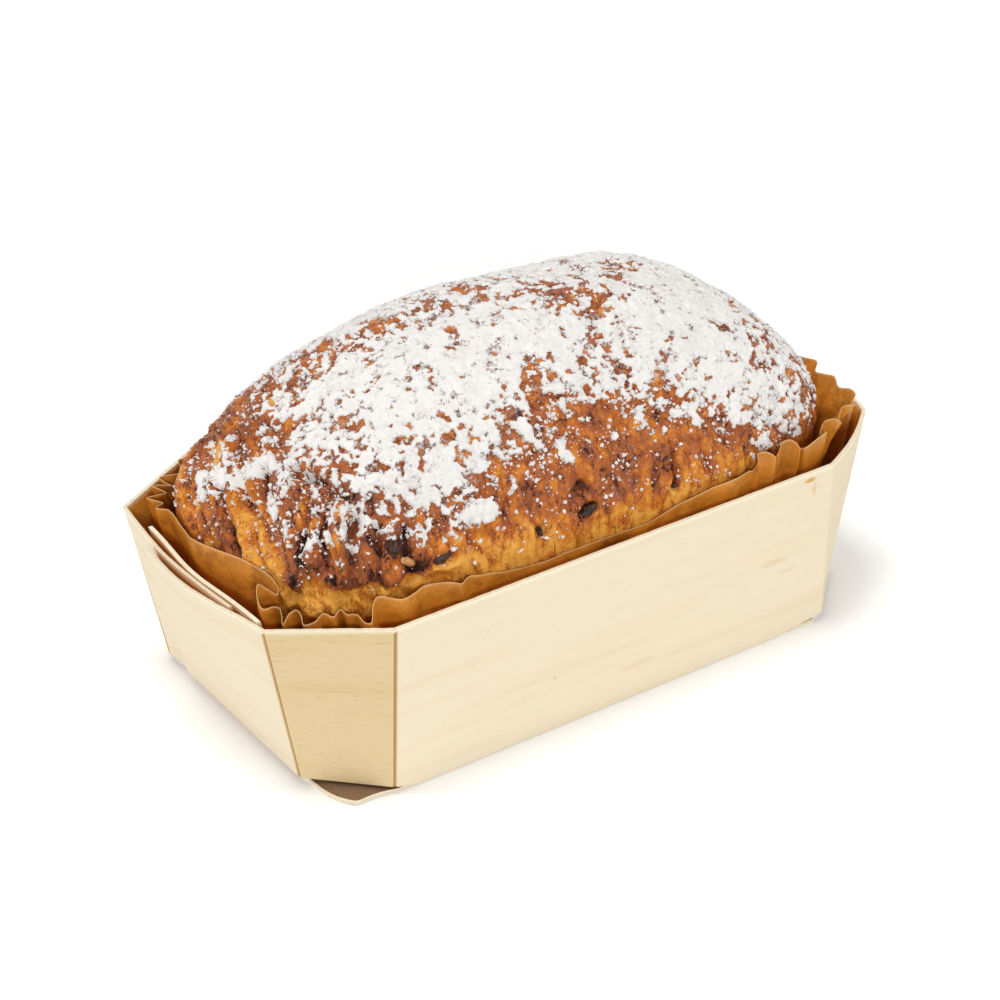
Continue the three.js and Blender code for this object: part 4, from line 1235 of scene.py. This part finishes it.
# Shifts of the strip coordinates, so that no two faces of the mould show the same grain.
INNER_STRIP, BACK_STRIP, BASE_STRIP = (300, 0), (0, 80), (600, 200)


def facet_line(start, end, bulge):
    t = straight(0, 1, FACET_COLUMNS)
    across = np.array([end[1] - start[1], start[0] - end[0]])
    across /= np.linalg.norm(across)
    return start + (end - start) * t[:, None] + across * (bulge * np.sin(np.pi * t))[:, None]


def wall_line(ears, folds, wall, bulges=(0, 0)):
    """The plan line of an ear, a facet, a wall, the other facet and the other ear."""
    return np.vstack([spline(ears[0], EAR_COLUMNS + 1)[:-1], facet_line(folds[0], folds[1], bulges[0]), wall,
                      facet_line(folds[2], folds[3], bulges[1]), spline(ears[1], EAR_COLUMNS + 1)])


def wall_sheet(rim_ears, foot_ears, rim_wall, bulges, tucked, mould):
    """One long wall with its facets and ears: points, faces, attributes and strip coordinates.

    tucked: 1 when its ears lie inside the other wall's, where the oven browned them a little.
    """
    rim_left, foot_left = RIM_HALF_LENGTH - RIM_CORNER_X, FOOT_HALF_LENGTH - FOOT_CORNER_X
    ear_y, ear_foot_y = RIM_CORNER_Y - RIM_HALF_WIDTH, FOOT_CORNER_Y - FOOT_HALF_WIDTH
    rim_folds = np.array([(-RIM_HALF_LENGTH, ear_y), (-rim_left, rim_wall(-rim_left)),
                          (rim_left, rim_wall(rim_left)), (RIM_HALF_LENGTH, ear_y)])
    foot_folds = np.array([(-FOOT_HALF_LENGTH, ear_foot_y), (-foot_left, -FOOT_HALF_WIDTH),
                           (foot_left, -FOOT_HALF_WIDTH), (FOOT_HALF_LENGTH, ear_foot_y)])
    wall_x = straight(-rim_left, rim_left, WALL_COLUMNS)
    rim = wall_line(rim_ears, rim_folds, np.stack([wall_x, rim_wall(wall_x)], 1), bulges)
    foot = wall_line(foot_ears, foot_folds, straight(foot_folds[1], foot_folds[2], WALL_COLUMNS))
    columns = len(rim)
    numbers, first = np.arange(columns), EAR_COLUMNS + FACET_COLUMNS
    on_wall = (numbers >= first) & (numbers <= first + WALL_COLUMNS)
    foot_x = foot[:, 0]
    rise = np.clip(np.maximum((FOLD_FROM - foot_x) / (FOLD_FROM + foot_left),
                              (foot_x - FOLD_TO) / (foot_left - FOLD_TO)), 0, 1)
    foot_z = np.where(on_wall, mix(FOLD_Z, FOOT_LIFT, rise), FOOT_LIFT)
    run = np.concatenate([[0], np.cumsum(np.linalg.norm(np.diff(rim, axis=0), axis=1))])

    rows = np.concatenate([[0, 0.012], np.linspace(0.05, 0.95, 12), [0.972, 0.99, 1.0]])
    inner_rim, inner_foot = offset_line(rim, VENEER), offset_line(foot, VENEER)
    half_score = mould.score_width / MM / 2
    score = sum(np.clip(1 - np.abs(run - at) / half_score, 0, 1) for at in run[[EAR_COLUMNS, first]])
    outer, inner, scores, strip = [], [], [], []
    for share in rows:
        z = mix(foot_z, RIM_HEIGHT, share)
        out, into = mix(foot, rim, share), mix(inner_foot, inner_rim, share)
        scored = score * (share < 0.98)
        worn = 0.06 * smoothstep(0.97, 1.0, share)
        out = mix(out, into, (scored * (mould.score_depth / MM) / VENEER + worn)[:, None])
        ragged = np.clip(noise(np.column_stack([out, z]), (2.2, 2.2, 50), 70), 0, 1)
        fray = 0.13 * ragged * (share > 0.985)
        outer.append(np.column_stack([out, z - fray]))
        inner.append(np.column_stack([mix(into, out, worn), z - fray]))
        scores.append(scored)
        strip.append(np.column_stack([run, z]))
    outer, inner, scores, strip = (np.stack(grid, 1) for grid in (outer, inner, scores, strip))
    facet = ((numbers >= EAR_COLUMNS) & (numbers <= first)).astype(float)
    facet += 0.15 * ((numbers >= columns - first - 1) & (numbers < columns - EAR_COLUMNS))
    facet = np.repeat(facet, len(rows))
    browned = np.repeat(0.36 * tucked * smoothstep(-15, -12, rim[:, 1]), len(rows))
    cut = np.tile(smoothstep(0.975, 1.0, rows), columns) * mix(0.9, 0.5, browned)
    nothing = np.zeros(len(facet))
    attributes = {
        "facet": np.append(facet, nothing),
        "inside": np.append(browned, nothing + 1),
        "score": np.append(scores, nothing),
        "cut": np.tile(cut, 2),
        "stain_and_shade": np.tile(nothing, 2),
    }
    strip = strip.reshape(-1, 2)
    return (two_faced(outer, inner), sheet_faces(columns, len(rows)), attributes,
            np.vstack([strip, strip + INNER_STRIP]))


# The plan outline of the corner that sticks out: nearly straight edges to a blunt tip.
BASE_TIP = [(-81.5, -35.9), (-81.2, -40.0), (-80.2, -44.2), (-78.4, -47.6), (-77.3, -48.8), (-76.0, -49.0),
            (-73.6, -48.9), (-71.0, -49.0), (-68.4, -49.4), (-66.0, -49.9)]


def base_slab():
    """The wrap's base: one corner sticks out at the front left, the others are cut."""
    w, cut = BASE_HALF_WIDTH, BASE_CUT
    corner = spline([(x, y, 0) for x, y in BASE_TIP], 40)[:, :2]
    cuts = [(BASE_RIGHT - cut, -w), (BASE_RIGHT, -w + cut), (BASE_RIGHT, w - cut), (BASE_RIGHT - cut, w),
            (BASE_LEFT + cut, w), (BASE_LEFT, w - cut)]
    outline = np.vstack([corner, cuts])
    lift = 0.5 * smoothstep(16, 0, np.linalg.norm(outline - [-76, -w], axis=1))
    middle = outline.mean(0)
    # The edge shows two plies with a dark seam of painted shade between them; the slab's top is painted
    # dark brown, partly its baked colour and partly painted shadow under the facet.
    layers = [(1.0, 0.0, 0.0), (1.0, 0.36, 0.0), (0.9985, 0.42, 1.0), (1.0, 0.5, 0.0), (0.998, 0.86, 0.0),
              (0.985, 0.90, 0.0), (0.975, 0.88, 1.0), (0.93, 0.86, 1.0)]
    count = len(outline)
    points = np.vstack([np.column_stack([middle + (outline - middle) * share, lift + height])
                        for share, height, _ in layers])
    faces = [tuple(range(count))[::-1], tuple(range((len(layers) - 1) * count, len(layers) * count))]
    for start in range(0, (len(layers) - 1) * count, count):
        faces += [(start + i, start + (i + 1) % count, start + count + (i + 1) % count, start + count + i)
                  for i in range(count)]
    dark = np.repeat([shade for _, _, shade in layers], count)
    nothing = np.zeros(len(points))
    attributes = {"facet": nothing, "inside": nothing, "score": nothing, "cut": 0.4 * (1 - dark),
                  "stain_and_shade": 0.85 * dark}
    return points, faces, attributes, points[:, :2] + BASE_STRIP


def turned_over(part):
    """The same part mirrored front to back."""
    points, faces, attributes, strip = part
    return points * [1, -1, 1], [tuple(reversed(face)) for face in faces], attributes, strip + BACK_STRIP


def joined(parts):
    points, faces, strips = [], [], []
    start = 0
    for part_points, part_faces, _, strip in parts:
        faces += [tuple(start + corner for corner in face) for face in part_faces]
        points.append(part_points)
        strips.append(strip)
        start += len(part_points)
    attributes = {key: np.concatenate([part[2][key] for part in parts]) for key in parts[0][2]}
    return np.vstack(points), faces, attributes, np.vstack(strips)


def build_wrap(mould):
    front = wall_sheet(
        rim_ears=([(-97.2, 14), (-98.0, 5), (-98.1, -5), (-96.3, -17.3), (-93.6, -28.8), (-92.5, -35.15)],
                  [(92.5, -35.15), (94.3, -29.8), (95.3, -20), (95.9, -5), (95.9, 5), (95.4, 14)]),
        foot_ears=([(-84.05, 23.1), (-84.05, 0), (-84.05, -33.5)],
                   [(84.05, -33.5), (84.05, 0), (84.05, 23.1)]),
        rim_wall=lambda x: np.full(np.shape(x), -RIM_HALF_WIDTH),
        bulges=(0.0, 1.3), tucked=0.0, mould=mould)
    back = wall_sheet(
        rim_ears=([(-93.8, 21.3), (-94.8, 9), (-95.3, -8), (-94.1, -22.5), (-92.5, -35.15)],
                  [(92.5, -35.15), (93.3, -22.5), (94.1, -8), (94.0, 9), (93.5, 21.3)]),
        foot_ears=([(-82.65, 21.3), (-82.65, -8), (-82.65, -22), (-84.05, -33.5)],
                   [(84.05, -33.5), (82.65, -22), (82.65, -8), (82.65, 21.3)]),
        rim_wall=lambda x: -RIM_HALF_WIDTH + 3.1 * bump(x + 75, 22),
        bulges=(0.0, 0.8), tucked=1.0, mould=mould)
    points, faces, attributes, strip = joined([front, turned_over(back), base_slab()])
    piece = add_piece("veneer_wrap", points, faces, veneer_material("veneer", mould, 1.0), attributes, strip,
                      smooth=False)
    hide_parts("mould_wrap")
    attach(piece, ROOT)


def build_cradle(mould):
    low = VENEER + GAP
    ys = np.linspace(CRADLE_FRONT, CRADLE_BACK, CRADLE_COLUMNS)
    bow = bump(ys + 2, 16)
    rim_x = {-1: 91.6 + 2.0 * bow, 1: 91.6 + 0.8 * bow}
    shares = np.linspace(1, 0, 14)

    def profile(inset):
        """The strip's sections along X, from the left end's rim to the right end's."""
        foot = CRADLE_FOOT_X - inset
        places = [(-mix(foot, rim_x[-1] - inset, share), mix(low + VENEER, RIM_HEIGHT, share))
                  for share in shares]
        places += [(x, low + inset) for x in np.linspace(-foot + VENEER, foot - VENEER, 12)]
        places += [(mix(foot, rim_x[1] - inset, share), mix(low + VENEER, RIM_HEIGHT, share))
                   for share in shares[::-1]]
        return np.stack([np.stack(np.broadcast_arrays(x, ys, z), 1) for x, z in places], 1)

    outer, inner = profile(0.0), profile(VENEER)
    points = two_faced(outer, inner)
    _, y, z = points.T
    inner_face = np.repeat([0.0, 1.0], len(points) // 2)
    nothing = np.zeros(len(points))
    # towards the front the ears keep the oven's heat off its outer face
    attributes = {
        "facet": nothing + 0.8,
        "inside": np.maximum(inner_face, 1 - 0.6 * smoothstep(-4, -12, y)),
        "score": nothing,
        "cut": smoothstep(RIM_HEIGHT - 0.7, RIM_HEIGHT, z),
        "stain_and_shade": nothing,
    }
    piece = add_piece("veneer_cradle", points, sheet_faces(CRADLE_COLUMNS, outer.shape[1]),
                      veneer_material("veneer_inner", mould, 0.9), attributes, np.column_stack([z, y + 60]),
                      smooth=False)
    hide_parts("mould_cradle")
    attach(piece, ROOT)


# ---- the stage -----------------------------------------------------------------------------------
FLOOR_SIZE = 3000.0
FLOOR_GREY, FLOOR_GLOW = 0.95, 0.09
WORLD_STRENGTH = 0.43
LIGHTS_TARGET = (0, 0, 0.05)

# The lamps: name, place and side in metres, and power in watts.
LAMPS = [("overhead", (-0.5, 0.2, 4.0), 1.1, 62.0), ("front_left", (-2.0, -3.6, 1.7), 0.6, 54.0),
         ("front_right", (1.4, -1.2, 1.1), 0.2, 6.5), ("back_left", (-1.5, 0.9, 1.0), 0.2, 7.5)]


def build_floor():
    size = FLOOR_SIZE
    material, _, shader, _ = new_material("pale_floor")
    # a sheet lit a little from below, as a light table is
    for name, value in (("Base Color", colour4([FLOOR_GREY] * 3)), ("Roughness", 0.9),
                        ("Emission Color", (1, 1, 1, 1)), ("Emission Strength", FLOOR_GLOW)):
        shader.inputs[name].default_value = value
    corners = [(-size, -size, 0), (size, -size, 0), (size, size, 0), (-size, size, 0)]
    floor = add_piece("floor", corners, [(0, 1, 2, 3)], material, smooth=False)


def build_lights():
    world = bpy.data.worlds.new("studio")
    bpy.context.scene.world = world
    world.use_nodes = True
    background = world.node_tree.nodes["Background"]
    background.inputs["Color"].default_value = (1, 1, 1, 1)
    background.inputs["Strength"].default_value = WORLD_STRENGTH
    for name, place, side, power in LAMPS:
        light = bpy.data.lights.new(name, "AREA")
        light.shape = "RECTANGLE"
        light.size = light.size_y = side
        light.energy = power
        lamp = new_object(name, light)
        lamp.location = place
        lamp.rotation_euler = (Vector(place) - Vector(LIGHTS_TARGET)).to_track_quat("Z", "Y").to_euler()
    bpy.context.scene.view_settings.view_transform = "Standard"


def build_camera(stage):
    target = Vector(stage.target)
    azimuth, elevation = stage.azimuth, stage.elevation
    back = Vector((math.sin(azimuth) * math.cos(elevation), -math.cos(azimuth) * math.cos(elevation),
                   math.sin(elevation)))
    right = (-back).cross(Vector((0, 0, 1))).normalized()
    up = right.cross(-back)
    c, s = math.cos(stage.roll), math.sin(stage.roll)
    right, up = right * c + up * s, up * c - right * s
    camera = bpy.data.cameras.new("camera")
    camera.lens = stage.lens
    camera.sensor_width = 36.0
    eye = new_object("camera", camera)
    turn = Matrix((right, up, back)).transposed()
    eye.matrix_world = Matrix.Translation(target + back * stage.distance) @ turn.to_4x4()
    bpy.context.scene.camera = eye


# ---- operators -----------------------------------------------------------------------------------
class AddCrust(bpy.types.Operator):
    """Build the loaf's baked crust and the raisins in it"""
    bl_idname = "almond_bread.add_crust"
    bl_label = "Add crust"

    def execute(self, context):
        scene = context.scene
        build_crust(scene.almond_crust, scene.almond_sugar)
        morsels("raisins", RAISINS, 0.42, morsel_material("raisin", "1e0e08", "54301f", 0.24))
        morsels("almond_bits", ALMONDS, 0.10, morsel_material("almond", "b9742f", "eec088", 0.35))
        return {"FINISHED"}


class AddSugar(bpy.types.Operator):
    """Dust the crown with powdered sugar"""
    bl_idname = "almond_bread.add_sugar"
    bl_label = "Add sugar"

    def execute(self, context):
        scene = context.scene
        build_sugar(scene.almond_sugar, scene.almond_crust)
        build_clumps(scene.almond_sugar, scene.almond_crust)
        return {"FINISHED"}


class AddPaper(bpy.types.Operator):
    """Line the mould with pleated baking paper"""
    bl_idname = "almond_bread.add_paper"
    bl_label = "Add paper liner"

    def execute(self, context):
        build_liner(context.scene.almond_paper)
        return {"FINISHED"}


class AddMould(bpy.types.Operator):
    """Fold the two strips of the veneer mould"""
    bl_idname = "almond_bread.add_mould"
    bl_label = "Add mould"

    def execute(self, context):
        build_wrap(context.scene.almond_mould)
        build_cradle(context.scene.almond_mould)
        return {"FINISHED"}


class AddStage(bpy.types.Operator):
    """Set up the floor, the lights and the camera"""
    bl_idname = "almond_bread.add_stage"
    bl_label = "Add stage"

    def execute(self, context):
        build_floor()
        build_lights()
        build_camera(context.scene.almond_stage)
        return {"FINISHED"}


class AlmondBreadPanel(bpy.types.Panel):
    """Lists the pieces of the almond bread"""
    bl_idname = "VIEW3D_PT_almond_bread"
    bl_label = "Almond bread"
    bl_space_type = "VIEW_3D"
    bl_region_type = "UI"
    bl_category = "Almond bread"

    def draw(self, context):
        for operator in OPERATORS:
            self.layout.operator(operator.bl_idname)
        for name in SETTINGS:
            settings = getattr(context.scene, name)
            box = self.layout.box()
            for key in settings.__annotations__:
                box.prop(settings, key)


OPERATORS = (AddCrust, AddSugar, AddPaper, AddMould, AddStage)
SETTINGS = {
    "almond_crust": CrustSettings,
    "almond_sugar": SugarSettings,
    "almond_paper": PaperSettings,
    "almond_mould": MouldSettings,
    "almond_stage": StageSettings,
}


def register():
    for kind in (*SETTINGS.values(), *OPERATORS, AlmondBreadPanel):
        bpy.utils.register_class(kind)
    for name, kind in SETTINGS.items():
        setattr(bpy.types.Scene, name, PointerProperty(type=kind))


def unregister():
    for name in SETTINGS:
        delattr(bpy.types.Scene, name)
    for kind in (*SETTINGS.values(), *OPERATORS, AlmondBreadPanel):
        bpy.utils.unregister_class(kind)


def main():
    register()
    bpy.ops.almond_bread.add_crust()
    bpy.ops.almond_bread.add_sugar()
    bpy.ops.almond_bread.add_paper()
    bpy.ops.almond_bread.add_mould()
    bpy.ops.almond_bread.add_stage()


if __name__ == "__main__":
    main()
